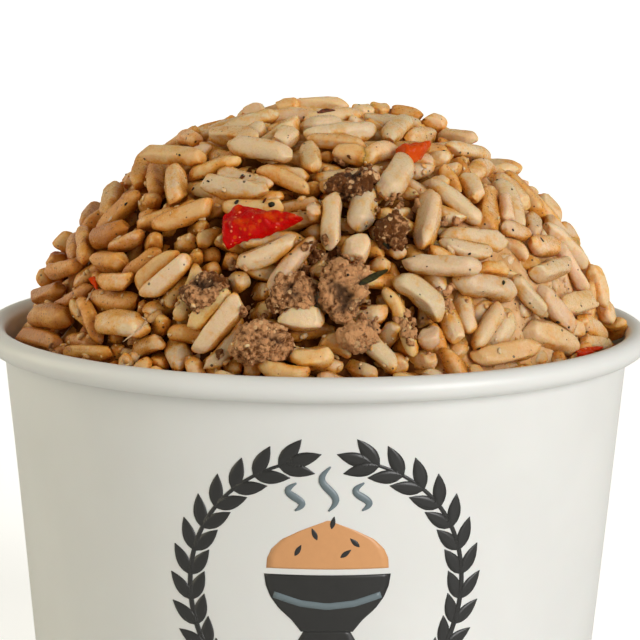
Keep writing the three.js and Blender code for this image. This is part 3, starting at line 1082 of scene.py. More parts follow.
def crumb_material(settings):
    material, shader, surface = new_material(
        "Crumbs of rice and sauce",
        Subsurface_Weight=0.2,
        Subsurface_Radius=(1.0, 0.45, 0.18),
        Subsurface_Scale=0.8 * MM,
    )
    own = shader.attribute("grain_colour", "Color")
    patches = shader.mottle(1600.0, 2.2)
    deeper = shader.mix(1.0, own, rgba(settings.film_and_shade_tint), "MULTIPLY")
    body = shader.mix(shader.spread(patches, 0.3, 0.9), own, deeper)
    body = shader.tint(body, shader.specks(2600.0, 0.45, 0.4), settings.grit_colour, 0.5)
    join_up(shader, surface, body, (0.32, patches, 0.3), (2200.0, 0.5, 0.8, 0.12))
    return material


def meat_material(settings):
    material, shader, surface = new_material(
        "Ground meat",
        Specular_IOR_Level=0.22,
        Subsurface_Weight=0.12,
        Subsurface_Radius=(1.0, 0.45, 0.3),
        Subsurface_Scale=0.8 * MM,
    )
    patches = shader.mottle(380.0, 2.4)
    small = shader.mottle(1500.0, 2.4)
    mixed = shader.plus(shader.math("MULTIPLY", patches, 0.40), small, 0.60)
    mixed = shader.math("ADD", mixed, shader.attribute("tone"))
    dark, light = rgba(settings.meat_dark), rgba(settings.meat_light)
    body = shader.mix(shader.spread(mixed, 0.34, 0.72), dark, light)
    # painted shade in the hollows of the crumbles, and fine dark specks of the same painted shade
    body = shader.tint(body, shader.attribute("pits"), settings.crevice_shade_colour)
    # pale specks: bits of fat, and painted glints of the wet meat
    body = shader.tint(body, shader.specks(1150.0, 0.56, 0.34), settings.fat_and_glint_colour, 0.85)
    body = shader.tint(body, shader.specks(1400.0, 0.3, 0.12), settings.crevice_shade_colour)
    join_up(shader, surface, body, (0.24, small, 0.4), (1700.0, 0.7, 1.0, 0.48))
    return material


def core_material(settings):
    material, shader, surface = new_material(
        "Rice paste",
        Roughness=0.6,
        Specular_IOR_Level=0.06,
        Subsurface_Weight=0.4,
        Subsurface_Radius=(1.0, 0.45, 0.16),
        Subsurface_Scale=1.2 * MM,
    )
    depth = shader.attribute("sunk")
    patches = shader.spread(shader.mottle(330.0, 2.0), 0.2, 0.8)
    fine = shader.spread(shader.mottle(1700.0, 1.8), 0.5, 1.1)
    body = shader.mix(patches, rgba(settings.paste_light), rgba(settings.paste_pale))
    body = shader.tint(body, fine, settings.paste_light, 0.6)
    body = shader.tint(body, shader.specks(2600.0, 0.5, 0.3), settings.grit_colour, 0.6)
    # painted shade: the paste turns brown a little way down and dark deep between the grains
    body = shader.tint(body, shader.spread(depth, 0.0, 0.55), settings.paste_shade_brown)
    body = shader.tint(body, shader.spread(depth, 0.35, 1.0), settings.paste_shade_dark)
    join_up(shader, surface, body, None, (1300.0, 0.6, 0.9, 0.25))
    return material


def pepper_material(settings):
    material, shader, surface = new_material(
        "Red pepper skin",
        Subsurface_Weight=0.15,
        Subsurface_Radius=(1.0, 0.08, 0.03),
        Subsurface_Scale=0.8 * MM,
        Coat_Weight=0.16,
        Coat_Roughness=0.18,
        Specular_IOR_Level=0.04,
    )
    ripening = shader.spread(shader.mottle(330.0, 2.2), 0.45, 1.0, 0.0, 0.8)
    ripe = shader.math("ADD", ripening, shader.attribute("orange"))
    body = shader.mix(ripe, rgba(settings.pepper_red), rgba(settings.pepper_orange))
    body = shader.tint(body, shader.specks(1500.0, 0.45, 0.30), settings.pepper_orange, 0.75)
    body = shader.tint(body, shader.specks(1900.0, 0.40, 0.14), settings.pepper_shine, 0.8)
    rough = (0.16, shader.mottle(1900.0, 2.0), 0.3)
    join_up(shader, surface, body, rough, (1500.0, 0.6, 1.0, 0.26))
    return material


def plant_material(name, colour, dark):
    material, shader, surface = new_material(name, Specular_IOR_Level=0.15)
    patches = shader.mottle(1500.0, 2.0)
    body = shader.mix(shader.spread(patches, 0.3, 0.8), rgba(dark), rgba(colour))
    join_up(shader, surface, body, (0.35, patches, 0.3), (2600.0, 0.5, 0.5, 0.06))
    return material


def paper_material(settings):
    material, shader, surface = new_material(
        "Coated paperboard",
        Subsurface_Weight=0.05,
        Subsurface_Scale=0.5 * MM,
        Coat_Weight=0.25,
        Coat_Roughness=0.28,
    )
    shade = rgba([0.965 * c for c in settings.paper_colour])
    patches = shader.spread(shader.mottle(55.0, 1.0), 0.35, 0.7)
    body = shader.mix(patches, rgba(settings.paper_colour), shade)
    rough = (0.36, shader.mottle(2600.0, 1.2), 0.12)
    join_up(shader, surface, body, rough, (1400.0, 0.4, 0.18, 0.03))
    return material


def ink_material(name, colour):
    material, shader, surface = new_material(name, Coat_Weight=0.25, Coat_Roughness=0.28)
    patches = shader.mottle(900.0, 1.0)
    lighter = [min(1.0, c * 1.12 + 0.004) for c in colour]
    body = shader.mix(patches, rgba(colour), rgba(lighter))
    join_up(shader, surface, body, (0.36, patches, 0.1), (1800.0, 0.4, 0.12, 0.02))
    return material


# ---- Settings ----------------------------------------------------------------------------------


def colour_property(label, default, description):
    return bpy.props.FloatVectorProperty(
        name=label, description=description, default=default, subtype="COLOR", min=0.0, max=1.0
    )


def size_property(label, default, description):
    """A length, with its default in millimetres."""
    return bpy.props.FloatProperty(
        name=label, description=description, default=default * MM, unit="LENGTH"
    )


def number_property(label, default, description):
    return bpy.props.FloatProperty(name=label, description=description, default=default)


def count_property(label, default, description):
    return bpy.props.IntProperty(name=label, description=description, default=default)


class RiceSettings(bpy.types.PropertyGroup):
    grain_length: size_property("Grain length", 9.4, "Mean length of a whole grain")
    grain_width: size_property("Grain width", 3.1, "Mean width of a grain")
    grain_count: count_property("Filling grains", 910, "Grains laid beside the ones placed by hand")
    crumb_count: count_property("Crumbs", 850, "Broken bits and crumbs over the heap")
    seed: count_property("Seed", 5, "Seed of everything random in the heap")
    pale_colour: colour_property("Pale grain", (0.71, 0.53, 0.325), "The lightest grains")
    tan_colour: colour_property("Tan grain", (0.75, 0.525, 0.285), "Grains with some sauce")
    golden_colour: colour_property("Golden grain", (0.75, 0.50, 0.22), "Grains stained gold")
    pink_colour: colour_property(
        "Pinkish grain", (0.73, 0.51, 0.315), "Grains with a film of starch"
    )
    # brown grains: soaked in sauce, and on grains that lie in shade, painted shade
    brown_colour: colour_property("Brown grain", (0.68, 0.445, 0.21), "Grains soaked in sauce")
    orange_colour: colour_property("Orange grain", (0.75, 0.465, 0.195), "Grains stained by spice")
    coated_colour: colour_property(
        "Coated grain", (0.71, 0.465, 0.215), "Grains with a crust of spice"
    )
    starch_colour: colour_property("Starch", (0.80, 0.64, 0.45), "Pale starch on the grains")
    # sauce and painted shade: this tint follows the film, which holds painted shade
    film_and_shade_tint: colour_property(
        "Film of sauce", (0.97, 0.640, 0.205), "What a thin film does to a grain"
    )
    # sauce and painted shade: the darkest film, between and under grains, deep in the heap and on its
    # left
    sauce_and_shade_colour: colour_property("Sauce", (0.46, 0.155, 0.015), "Sauce between the grains")
    grit_colour: colour_property("Grit", (0.34, 0.115, 0.014), "Fine brown spice in the sauce")
    speck_colour: colour_property("Specks", (0.035, 0.018, 0.01), "Fine specks of black spice")
    # painted shade: the colour the paste turns deep between the grains
    paste_shade_dark: colour_property("Dark paste", (0.080, 0.020, 0.0015), "Paste deep in the heap")
    paste_light: colour_property("Light paste", (0.67, 0.385, 0.17), "Paste near the surface")
    # painted shade: the colour the paste turns a little way down between the grains
    paste_shade_brown: colour_property("Brown paste", (0.45, 0.19, 0.035), "Paste a little way down")
    paste_pale: colour_property("Pale paste", (0.77, 0.52, 0.30), "Paste with the most starch")


class ToppingSettings(bpy.types.PropertyGroup):
    meat_dark: colour_property("Meat, dark", (0.16, 0.050, 0.008), "The browned parts of the meat")
    meat_light: colour_property("Meat, light", (0.72, 0.360, 0.155), "The paler parts of the meat")
    # bits of fat and painted glints on the meat
    fat_and_glint_colour: colour_property("Fat", (0.88, 0.56, 0.28), "Bits of fat on the meat")
    # painted shade in the meat's hollows and in fine dark specks
    crevice_shade_colour: colour_property("Crevices", (0.045, 0.018, 0.008), "Dark spots in the meat")
    pepper_red: colour_property("Pepper, red", (0.53, 0.0005, 0.0), "The pepper's skin")
    pepper_orange: colour_property(
        "Pepper, orange", (0.64, 0.080, 0.001), "The pepper's lighter parts"
    )
    pepper_shine: colour_property("Pepper, wet", (1.0, 0.30, 0.16), "Wet glints on the pepper")
    herb_colour: colour_property("Herb", (0.048, 0.042, 0.010), "Dried herb")
    herb_dark: colour_property("Herb, dark", (0.016, 0.016, 0.006), "The darker side of the herb")
    flake_colour: colour_property("Spice flake", (0.16, 0.035, 0.010), "Flakes of red-brown spice")
    flake_dark: colour_property("Spice flake, dark", (0.05, 0.012, 0.005), "Their darker parts")
    fibre_colour: colour_property("Fibre", (0.80, 0.62, 0.42), "Pale fibres of onion")
    fibre_dark: colour_property("Fibre, dark", (0.62, 0.42, 0.24), "Their darker parts")
    black_spice: colour_property("Black spice", (0.012, 0.009, 0.007), "Coarse black pepper")


class CupSettings(bpy.types.PropertyGroup):
    paper_colour: colour_property("Paper", (0.757, 0.760, 0.742), "The white paperboard")
    board: size_property("Board", 0.45, "Thickness of the paperboard")
    curl: size_property("Rim roll", 3.3, "Diameter of the rolled rim")
    foot_diameter: size_property("Foot", 79.4, "Diameter at the foot")
    foot_fold: size_property("Foot fold", 1.4, "Width of the folded foot ring")
    unevenness: size_property("Unevenness", 0.10, "How far the wall swells in and out")
    ink_black: colour_property("Ink, black", (0.012, 0.012, 0.012), "The print's black")
    ink_tan: colour_property("Ink, tan", (0.62, 0.30, 0.12), "The print's tan")
    ink_grey: colour_property("Ink, grey", (0.13, 0.17, 0.19), "The print's blue-grey")


class StageSettings(bpy.types.PropertyGroup):
    floor_colour: colour_property("Floor", (0.90, 0.90, 0.90), "The floor and the background")
    sky_colour: colour_property("Sky colour", (1.0, 0.97, 0.84), "The even light from all round")
    key_colour: colour_property("Key colour", (1.0, 0.99, 1.0), "The main light, from the right")
    fill_colour: colour_property(
        "Fill colour", (1.0, 0.92, 0.68), "The weaker light, from the left"
    )
    key_strength: number_property("Key light", 2.2, "Watts to the square metre of the main light")
    fill_strength: number_property(
        "Fill light", 0.98, "Watts to the square metre of the side light"
    )
    sky_strength: number_property("Sky", 0.60, "Strength of the sky at the sides")
    sky_overhead: number_property(
        "Sky overhead", 0.40, "Strength of the sky overhead, to that at the sides"
    )
    floor_dimmed: number_property(
        "Floor dimmed", 0.80, "How pale the floor is to light that goes on"
    )
    floor_glow: number_property(
        "Floor glow", 0.5, "Light from the floor itself, as the camera sees it"
    )
    floor_bounce: number_property(
        "Floor bounce", 0.02, "Light from the floor itself, as the cup gets it"
    )


# ---- Operators ---------------------------------------------------------------------------------


def lump_piece(name, points, material, slot, values=None, nodes=()):
    """A piece made of many lumps, whose values are given by point."""
    flat, values = with_tips(points, values or {})
    count, rings, segments, _ = points.shape
    obj = mesh_object(name, flat, grain_faces(count, rings, segments), material, values)
    belongs(obj, slot, *nodes)


def coloured(points, colours, values=None):
    """Values for mesh_object: a colour for each row of points, and others by point."""
    count = len(points)
    channels = dict(values or {})
    for axis, key in enumerate("rgb"):
        channels[key] = np.broadcast_to(colours[:, axis].reshape(count, 1, 1), points.shape[:-1])
    flat, channels = with_tips(points, channels)
    channels["grain_colour"] = np.stack([channels.pop(key) for key in "rgb"], axis=-1)
    return flat, channels


class RICE_OT_grains(bpy.types.Operator):
    """Lays and shapes the rice grains over the heap"""

    bl_idname = "rice.grains"
    bl_label = "Rice grains"

    # rings along a grain and points round it
    FINE = (31, 20)
    PLAIN = (22, 14)
    COARSE = (15, 10)
    DEEP = 3.1  # grains whose middles lie deeper than this are the inner ones

    def execute(self, context):
        settings = context.scene.rice_settings
        surface = heap_surface()
        random = np.random.default_rng(settings.seed)
        seen = seen_rows(surface, random)
        rows = seen + filling_rows(surface, settings, random, seen)
        grains = relax(Grains(rows), surface, *topping_balls(settings))
        material = rice_material(settings)
        depth, _ = surface.depth(grains.centre)
        pale = np.isin(grains.finish, ("pale", "pink"))
        groups = {
            "rice_grains_pale": (grains.held & pale, self.FINE),
            "rice_grains_tan": (grains.held & ~pale, self.FINE),
            "rice_grains_outer": (~grains.held & (depth < self.DEEP), self.PLAIN),
            "rice_grains_inner": (~grains.held & (depth >= self.DEEP), self.COARSE),
        }
        for name, (chosen, detail) in groups.items():
            some = grains.part(chosen)
            points, t = grain_points(some, *detail, random)
            gaps = press_together(points, chosen, grains)
            # the sauce attribute holds real sauce and painted shade together
            values = {"sauce": self.sauce(some, points, t, gaps, surface, random)}
            own = np.array([getattr(settings, finish + "_colour") for finish in some.finish])
            lighter = random.normal(0, 0.05, (some.count, 1))
            own = own * (1 + lighter + random.normal(0, 0.012, own.shape))
            coated = np.isin(some.finish, ("coated", "brown")).astype(float)
            values["coated"] = np.broadcast_to(coated[:, None, None], gaps.shape)
            flat, values = coloured(points, np.clip(own, 0, 1), values)
            obj = mesh_object(name, flat, grain_faces(some.count, *detail), material, values)
            belongs(obj, "rice")
        return {"FINISHED"}

    @staticmethod
    def sauce(some, points, t, gaps, surface, random):
        """How much sauce and painted shade each point gets: both between grains and on their lower
        sides, sauce at their tips, painted shade deep in the heap, less of both on paste, and painted
        shade on the heap's left, the side away from the key light."""
        depth, outward = surface.depth(points)
        from_axis = points - some.centre[:, None, None]
        along = np.einsum("nrsx,nx->nrs", from_axis, some.axis)
        from_axis = from_axis - along[..., None] * some.axis[:, None, None]
        # the lower side of each grain, away from the light from above, gets sauce and painted shade
        lit_top_side = unit(0.5 * outward + np.array([0.15, 0.0, 0.8]))
        under = -(from_axis * lit_top_side).sum(-1) / some.radius[:, None, None]
        # sauce and painted shade where grains touch
        sauce = smooth(0.85, 0.0, gaps) * 0.55
        sauce = sauce + smooth(0.0, 0.7, under) * 0.55
        sauce = sauce + smooth(0.75, 1.0, np.abs(t)) * 0.22
        # painted shade on grains deep in the heap
        sauce = sauce + smooth(2.2, 5.0, depth) * 0.40
        sauce = sauce * (1 - 0.45 * pastiness(outward))
        # painted shade on the heap's left, the side away from the key light
        sauce = sauce + smooth(0.25, 0.95, -outward[..., 0]) * 0.56
        sauce = sauce + random.normal(0, 0.10, (some.count, 1, 1))
        return np.clip(sauce, 0, 1.9)


class RICE_OT_core(bpy.types.Operator):
    """Builds the smaller core under the grains, with the paste's relief, in place of the heap"""

    bl_idname = "rice.core"
    bl_label = "Core of the heap"

    AROUND = 380
    UP = 104
    LOW_RINGS = 4
    LOWEST = math.radians(4)  # the relief's lower edge, seen from the ball's centre
    DEPTH = 4.9  # under the heap's outside, in millimetres
    PASTY_RISE = 2.4  # how much less deep it lies where the heap is pasty
    DEPTH_LIMITS = (1.2, 9.0)
    # the relief: lumps to the radius, a shift of the noise, and the height in millimetres
    RELIEF = ((9, 0, 1.5), (34, 7, 0.8), (80, 3, 0.45))
    TOP_DEPTH = 6.0
    SIDE_ROOM = 5.5  # from the heap's box to the lower part of the core

    def execute(self, context):
        surface = heap_surface()
        turn = np.linspace(-np.pi, np.pi, self.AROUND, endpoint=False)
        rise = np.linspace(self.LOWEST, np.pi / 2, self.UP + 1)[:-1]
        turn, rise = np.meshgrid(turn, rise, indexing="ij")
        out = direction(turn, rise)
        relief = 0
        for scale, shift, height in self.RELIEF:
            lumps = [noise.noise(Vector(v * scale + shift)) for v in out.reshape(-1, 3)]
            relief = relief + height * np.array(lumps).reshape(turn.shape)
        pasty = pastiness(out)
        depth = self.DEPTH - self.PASTY_RISE * pasty - relief * (1 - 0.65 * pasty)
        depth = np.clip(depth, *self.DEPTH_LIMITS)
        points = BALL_CENTRE + out * (surface.reach(out) - depth)[..., None]
        up = np.array([0, 0, 1.0])
        top = BALL_CENTRE + up * (surface.reach(up) - self.TOP_DEPTH)
        floor = HEAP_LOW[2] + 0.3
        lower = []
        around = np.stack([np.cos(turn[:, 0]), np.sin(turn[:, 0])], axis=-1)
        for share in np.linspace(1, 0, self.LOW_RINGS + 1)[1:]:
            height = floor + (points[:, 0, 2] - floor) * share
            spread = (HEAP_HIGH[0] - self.SIDE_ROOM) * (0.93 + 0.07 * share)
            lower.append(np.concatenate([around * spread, height[:, None]], axis=1))
        rings = np.concatenate([np.stack(lower[::-1], axis=1), points], axis=1)
        # how much painted shade the core gets: all of it on the rings below, and more the deeper the
        # relief lies
        below = np.ones((self.AROUND, self.LOW_RINGS))
        sunk = np.concatenate([below, smooth(1.9, 5.0, depth)], axis=1)
        flat = np.concatenate([rings.reshape(-1, 3), [top], [[0, 0, floor]]])
        values = {"sunk": np.concatenate([sunk.reshape(-1), [1.0, 1.0]])}
        material = core_material(context.scene.rice_settings)
        obj = mesh_object("rice_core", flat, self.faces(rings.shape[1]), material, values)
        belongs(obj, "rice", "rice_heap")
        return {"FINISHED"}

    def faces(self, count):
        """Quads between columns of count points, and triangles to the top and the floor's middle."""
        i, j = np.meshgrid(np.arange(self.AROUND), np.arange(count - 1), indexing="ij")
        here, beside = i * count + j, (i + 1) % self.AROUND * count + j
        quads = np.stack([here, beside, beside + 1, here + 1], axis=-1)
        low = np.arange(self.AROUND) * count
        low_next = np.roll(low, -1)
        high, high_next = low + count - 1, low_next + count - 1
        top = np.full_like(low, self.AROUND * count)
        upper = np.stack([high, high_next, top], axis=-1)
        lower = np.stack([low_next, low, top + 1], axis=-1)
        return [quads.reshape(-1, 4), np.concatenate([upper, lower])]


def granular(point, seed):
    """Height of ground meat's surface, in millimetres: clumps, grains and hollows."""
    place = point + Vector((seed, seed, seed))
    swirl = [noise.noise(place * 0.5 + Vector((shift, 0, 0))) for shift in (0.0, 31.7, 67.3)]
    place = place + Vector(swirl) * 0.9
    clump = 0.5 - noise.voronoi(place * 0.5)[0][0]
    grain = 0.45 - noise.voronoi(place * 1.6)[0][0]
    return 0.75 * clump + 0.80 * grain + 1.3 * noise.noise(place * 0.30)


def lump(centre, size, balls, random, base=None):
    """A crumble's rough shape: its solid drawn in a little, or a ball, with smaller lumps on it."""
    shape = bmesh.new()
    if base:
        shape.from_mesh(base)
        middle = Vector(centre * MM)
        for vertex in shape.verts:
            vertex.co = middle + (vertex.co - middle) * 0.93
    else:
        girth = Matrix.Diagonal((*(size * 0.42 * MM), 1.0))
        place = Matrix.Translation(Vector(centre * MM)) @ girth
        bmesh.ops.create_icosphere(shape, subdivisions=3, radius=1.0, matrix=place)
    for heading in unit(random.normal(size=(balls, 3))):
        spot = centre + heading * size * random.uniform(0.22, 0.40)
        girth = Matrix.Diagonal((*(random.uniform(0.7, 1.5, 3) * MM), 1.0))
        place = Matrix.Translation(Vector(spot * MM)) @ girth
        bmesh.ops.create_icosphere(shape, subdivisions=2, radius=1.0, matrix=place)
    mesh = bpy.data.meshes.new("crumble")
    shape.to_mesh(mesh)
    shape.free()
    return mesh


def roughened(mesh, voxel, seed):
    """Makes a rough shape one skin, and roughens it. Returns points, faces and the painted shade of
    each point, from how deep it lies in a hollow.
    """
    obj = linked(bpy.data.objects.new("crumble", mesh))
    remesh = obj.modifiers.new("Remesh", "REMESH")
    remesh.mode = "VOXEL"
    remesh.voxel_size = voxel * MM
    soften = obj.modifiers.new("Smooth", "SMOOTH")
    soften.iterations = 2
    depsgraph = bpy.context.evaluated_depsgraph_get()
    fine = bpy.data.meshes.new_from_object(obj.evaluated_get(depsgraph))
    bpy.data.objects.remove(obj)
    bpy.data.meshes.remove(mesh)
    points = np.empty(len(fine.vertices) * 3, np.float32)
    fine.vertices.foreach_get("co", points)
    normals = np.array([tuple(v.normal) for v in fine.vertices])
    points = points.reshape(-1, 3) / MM
    height = np.array([granular(Vector(point), seed) for point in points])
    faces = np.array([tuple(face.vertices) for face in fine.polygons])
    bpy.data.meshes.remove(fine)
    return points + normals * height[:, None], faces, smooth(0.0, -0.75, height) * 0.85


class RICE_OT_meat(bpy.types.Operator):
    """Builds the crumbles of ground meat in place of their solids, and more round the back"""

    bl_idname = "rice.meat"
    bl_label = "Meat crumbles"

    VOXEL = 0.20  # fineness of the meshes, in millimetres
    COARSE_VOXEL = 0.30  # that of the ones round the back
    # how much paler or darker than the rest a crumble is
    TONES = {
        "meat_crumble_front": 0.12,
        "meat_crumble_pale": 0.20,
        "meat_crumble_small": 0.26,
        "meat_crumble_dark": -0.16,
        "meat_crumble_upper": -0.16,
    }

    def execute(self, context):
        random = np.random.default_rng(context.scene.rice_settings.seed + 1)
        material = meat_material(context.scene.topping_settings)
        names = [name for name in TOPPING_NODES if name.startswith("meat")]
        for index, node in enumerate(sorted(names)):
            low, high = box_mm(node)
            size = high - low
            balls = int(3 + size.mean() * 1.8)
            shape = lump((low + high) / 2, size, balls, random, frame["nodes"][node].data)
            points, faces, pits = roughened(shape, self.VOXEL, 17.0 * index)
            values = {"tone": np.full(len(points), self.TONES.get(node, 0.0)), "pits": pits}
            name = node.replace("meat", "fine_meat")
            obj = mesh_object(name, points, faces, material, values)
            belongs(obj, "meat", node)
        all_points, all_faces, all_pit_shade, start = [], [], [], 0
        for index, (centre, radius) in enumerate(other_crumbles(context.scene.rice_settings)):
            size = radius * 2.1 * random.uniform(0.8, 1.2, 3)
            shape = lump(centre, size, int(4 + radius * 2), random)
            points, faces, pits = roughened(shape, self.COARSE_VOXEL, 7.0 * index + 3)
            all_points.append(points)
            all_faces.append(faces + start)
            all_pit_shade.append(pits)
            start += len(points)
        points, faces = np.concatenate(all_points), np.concatenate(all_faces)
        values = {"pits": np.concatenate(all_pit_shade)}
        belongs(mesh_object("more_meat_crumbles", points, faces, material, values), "meat")
        return {"FINISHED"}


def level_line(surface, where, pixels):
    """A line on the heap under a row of pixels, without the heap's smaller unevenness."""
    rays = np.array([photo_ray(x, y) for x, y in pixels])
    met = np.array([surface.seen_at(x, y) for x, y in pixels])
    distance = np.linalg.norm(met - CAMERA_PLACE, axis=1)
    even = np.polyval(np.polyfit(where, distance, 2), where)
    return CAMERA_PLACE + rays * even[:, None]


def slab_points(slab, surface, random, rings=64, segments=44):
    """A flattish piece that lies on the heap under its outline."""
    stations = np.array(slab.outline, float)
    share = np.linspace(0, 1, len(stations))
    where = (1 - np.cos(np.linspace(0, np.pi, rings))) / 2
    columns = np.stack([np.interp(where, share, stations[:, k]) for k in range(3)], axis=-1)
    upper = level_line(surface, where, columns[:, [0, 1]])
    lower = level_line(surface, where, columns[:, [0, 2]])
    outward = unit((upper + lower) / 2 - BALL_CENTRE)
    turn = np.linspace(0, 2 * np.pi, segments, endpoint=False)
    across = (0.5 - 0.5 * np.sign(np.cos(turn)) * np.abs(np.cos(turn)) ** 0.8)[None, :, None]
    rise = (np.sign(np.sin(turn)) * np.abs(np.sin(turn)) ** 0.7)[None, :, None]
    taper = np.sqrt(np.clip(np.minimum(where, 1 - where) * 9, 0.05, 1))[:, None, None]
    points = upper[:, None] * (1 - across) + lower[:, None] * across
    lift = slab.bulge * (1 - (2 * across - 1) ** 2) * taper
    lift = lift + rise * slab.thickness / 2 * taper - slab.sunk
    points = (points + outward[:, None] * lift)[None]
    bumps = 0.26 * ripple(random, points, 2.4, 9) + 0.12 * ripple(random, points, 1.0, 12)
    bumps = bumps + 0.035 * ripple(random, points, 0.5, 14)
    return points + outward[None, :, None] * bumps[..., None]


# Thickness, bulge and depth in millimetres; outlines in pixels of the photograph, as columns of x,
# upper y and lower y. A slab with a node stands for it.
Slab = namedtuple("Slab", "name node orange thickness bulge sunk outline")

PEPPER_FRONT = (
    (222, 226, 240), (226, 214, 247), (236, 206, 243), (250, 206, 238), (264, 208, 233),
    (278, 211, 228), (292, 214, 222), (303, 215, 218),
)
PEPPER_TOP = (
    (397, 146, 149), (404, 143, 152), (411, 142, 158), (418, 141, 159), (425, 141, 152),
    (432, 140, 143),
)
PEPPER_DEEP = ((282, 272, 277), (288, 268, 279), (296, 267, 277), (305, 270, 273))
PEPPER_LEFT = ((88, 276, 279), (90, 274, 286), (92, 277, 287))
PEPPER_RIM = ((578, 353, 357), (584, 348, 357), (592, 346, 354), (600, 347, 350))
PEPPER_SLABS = (
    Slab("pepper_front", "red_pepper_front", 0.0, 1.5, 0.9, 0.55, PEPPER_FRONT),
    Slab("pepper_top", "red_pepper_top", 0.8, 1.1, 0.4, 0.5, PEPPER_TOP),
    Slab("pepper_deep", None, -0.4, 0.9, 0.2, 2.2, PEPPER_DEEP),
    Slab("pepper_left", None, 0.6, 0.7, 0.1, 0.7, PEPPER_LEFT),
    Slab("pepper_rim", None, 0.3, 0.9, 0.2, 0.4, PEPPER_RIM),
)


class RICE_OT_pepper(bpy.types.Operator):
    """Builds the pieces of red pepper, two of them in place of their solids, and more behind"""

    bl_idname = "rice.pepper"
    bl_label = "Red pepper"

    def execute(self, context):
        random = np.random.default_rng(context.scene.rice_settings.seed + 2)
        surface = heap_surface()
        material = pepper_material(context.scene.topping_settings)
        for slab in PEPPER_SLABS:
            nodes = [slab.node] if slab.node else []
            self.piece(slab.name, slab_points(slab, surface, random), material, slab.orange, *nodes)
        centres, outward = spots_behind(surface, random, 7)
        halves = random.uniform((1.6, 0.9, 0.45), (3.2, 1.6, 0.75), (len(centres), 3))
        frames = random_frames(outward, random)
        points = lump_points(centres - outward * 0.2, frames, halves, 20, 18, 0.16, random)
        self.piece("pepper_behind", points, material, 0.2)
        return {"FINISHED"}

    @staticmethod
    def piece(name, points, material, orange, *nodes):
        values = {"orange": np.full(points.shape[:-1], orange)}
        lump_piece(name, points, material, "pepper", values, nodes)


def spots_behind(surface, random, count):
    """Random places on the back of the heap, clear of the cup, and the outward directions there."""
    turn = random.uniform(-np.pi, np.pi, 6 * count)
    rise = np.arcsin(random.uniform(0.36, 0.98, 6 * count))
    outward = direction(turn, rise)
    outward = outward[outward @ VIEW_BACK < -0.1][:count]
    return BALL_CENTRE + outward * surface.reach(outward)[:, None], outward


class Ground:
    """What has been built of the heap so far, for small things to land on."""

    def __init__(self):
        depsgraph = bpy.context.evaluated_depsgraph_get()
        names = ("rice", "fine_meat", "more_meat", "pepper")
        objects = [o for o in bpy.context.scene.objects if o.name.startswith(names)]
        built = [o for o in objects if o.name not in frame["nodes"]]
        self.trees = [BVHTree.FromObject(obj, depsgraph) for obj in built]

    def hit(self, origin, direction):
        """The first place met, in millimetres, and its normal; or None."""
        start, along = Vector(origin * MM), Vector(direction)
        found = [tree.ray_cast(start, along) for tree in self.trees]
        found = [hit for hit in found if hit[0] is not None]
        if not found:
            return None
        nearest = min(found, key=lambda hit: hit[3])
        return np.array(nearest[0]) / MM, np.array(nearest[1])

    def below_pixel(self, x, y):
        return self.hit(CAMERA_PLACE, photo_ray(x, y))

    def shown_and_scattered(self, shown, count, deep_share, surface, random):
        """Places under the pixels of shown and random ones after them, and the normals there."""
        landed = [self.below_pixel(x, y) for x, y, _ in shown]
        places, normals = self.scattered(surface, random, count, deep_share)
        places = np.concatenate([[place for place, _ in landed], places])
        return places, np.concatenate([[normal for _, normal in landed], normals])

    def resting(self, x0, y0, x1, y1):
        """Both ends of a straight thing that lies on the heap between two pixels."""
        share = np.linspace(0, 1, 9)
        rays = np.array([photo_ray(x0 + (x1 - x0) * s, y0 + (y1 - y0) * s) for s in share])
        met = np.array([self.hit(CAMERA_PLACE, ray)[0] for ray in rays])
        distance = np.linalg.norm(met - CAMERA_PLACE, axis=1)
        slope = distance[-1] - distance[0]
        start = (distance - slope * share).min()
        return CAMERA_PLACE + rays[0] * start, CAMERA_PLACE + rays[-1] * (start + slope)

    def scattered(self, surface, random, count, deep_share):
        """Random landing places all over the heap, more of them in its hollows."""
        places, normals = [], []
        while len(places) < count:
            origin_out = unit(random.normal(size=3))
            if origin_out[2] < 0.02:
                continue
            reach = surface.reach(origin_out)
            landed = self.hit(BALL_CENTRE + origin_out * (reach + 4), -origin_out)
            if landed is None:
                continue
            depth, _ = surface.depth(landed[0])
            if random.random() > deep_share + (1 - deep_share) * smooth(0.6, 2.6, depth):
                continue
            places.append(landed[0])
            normals.append(landed[1])
        return np.array(places), np.array(normals)


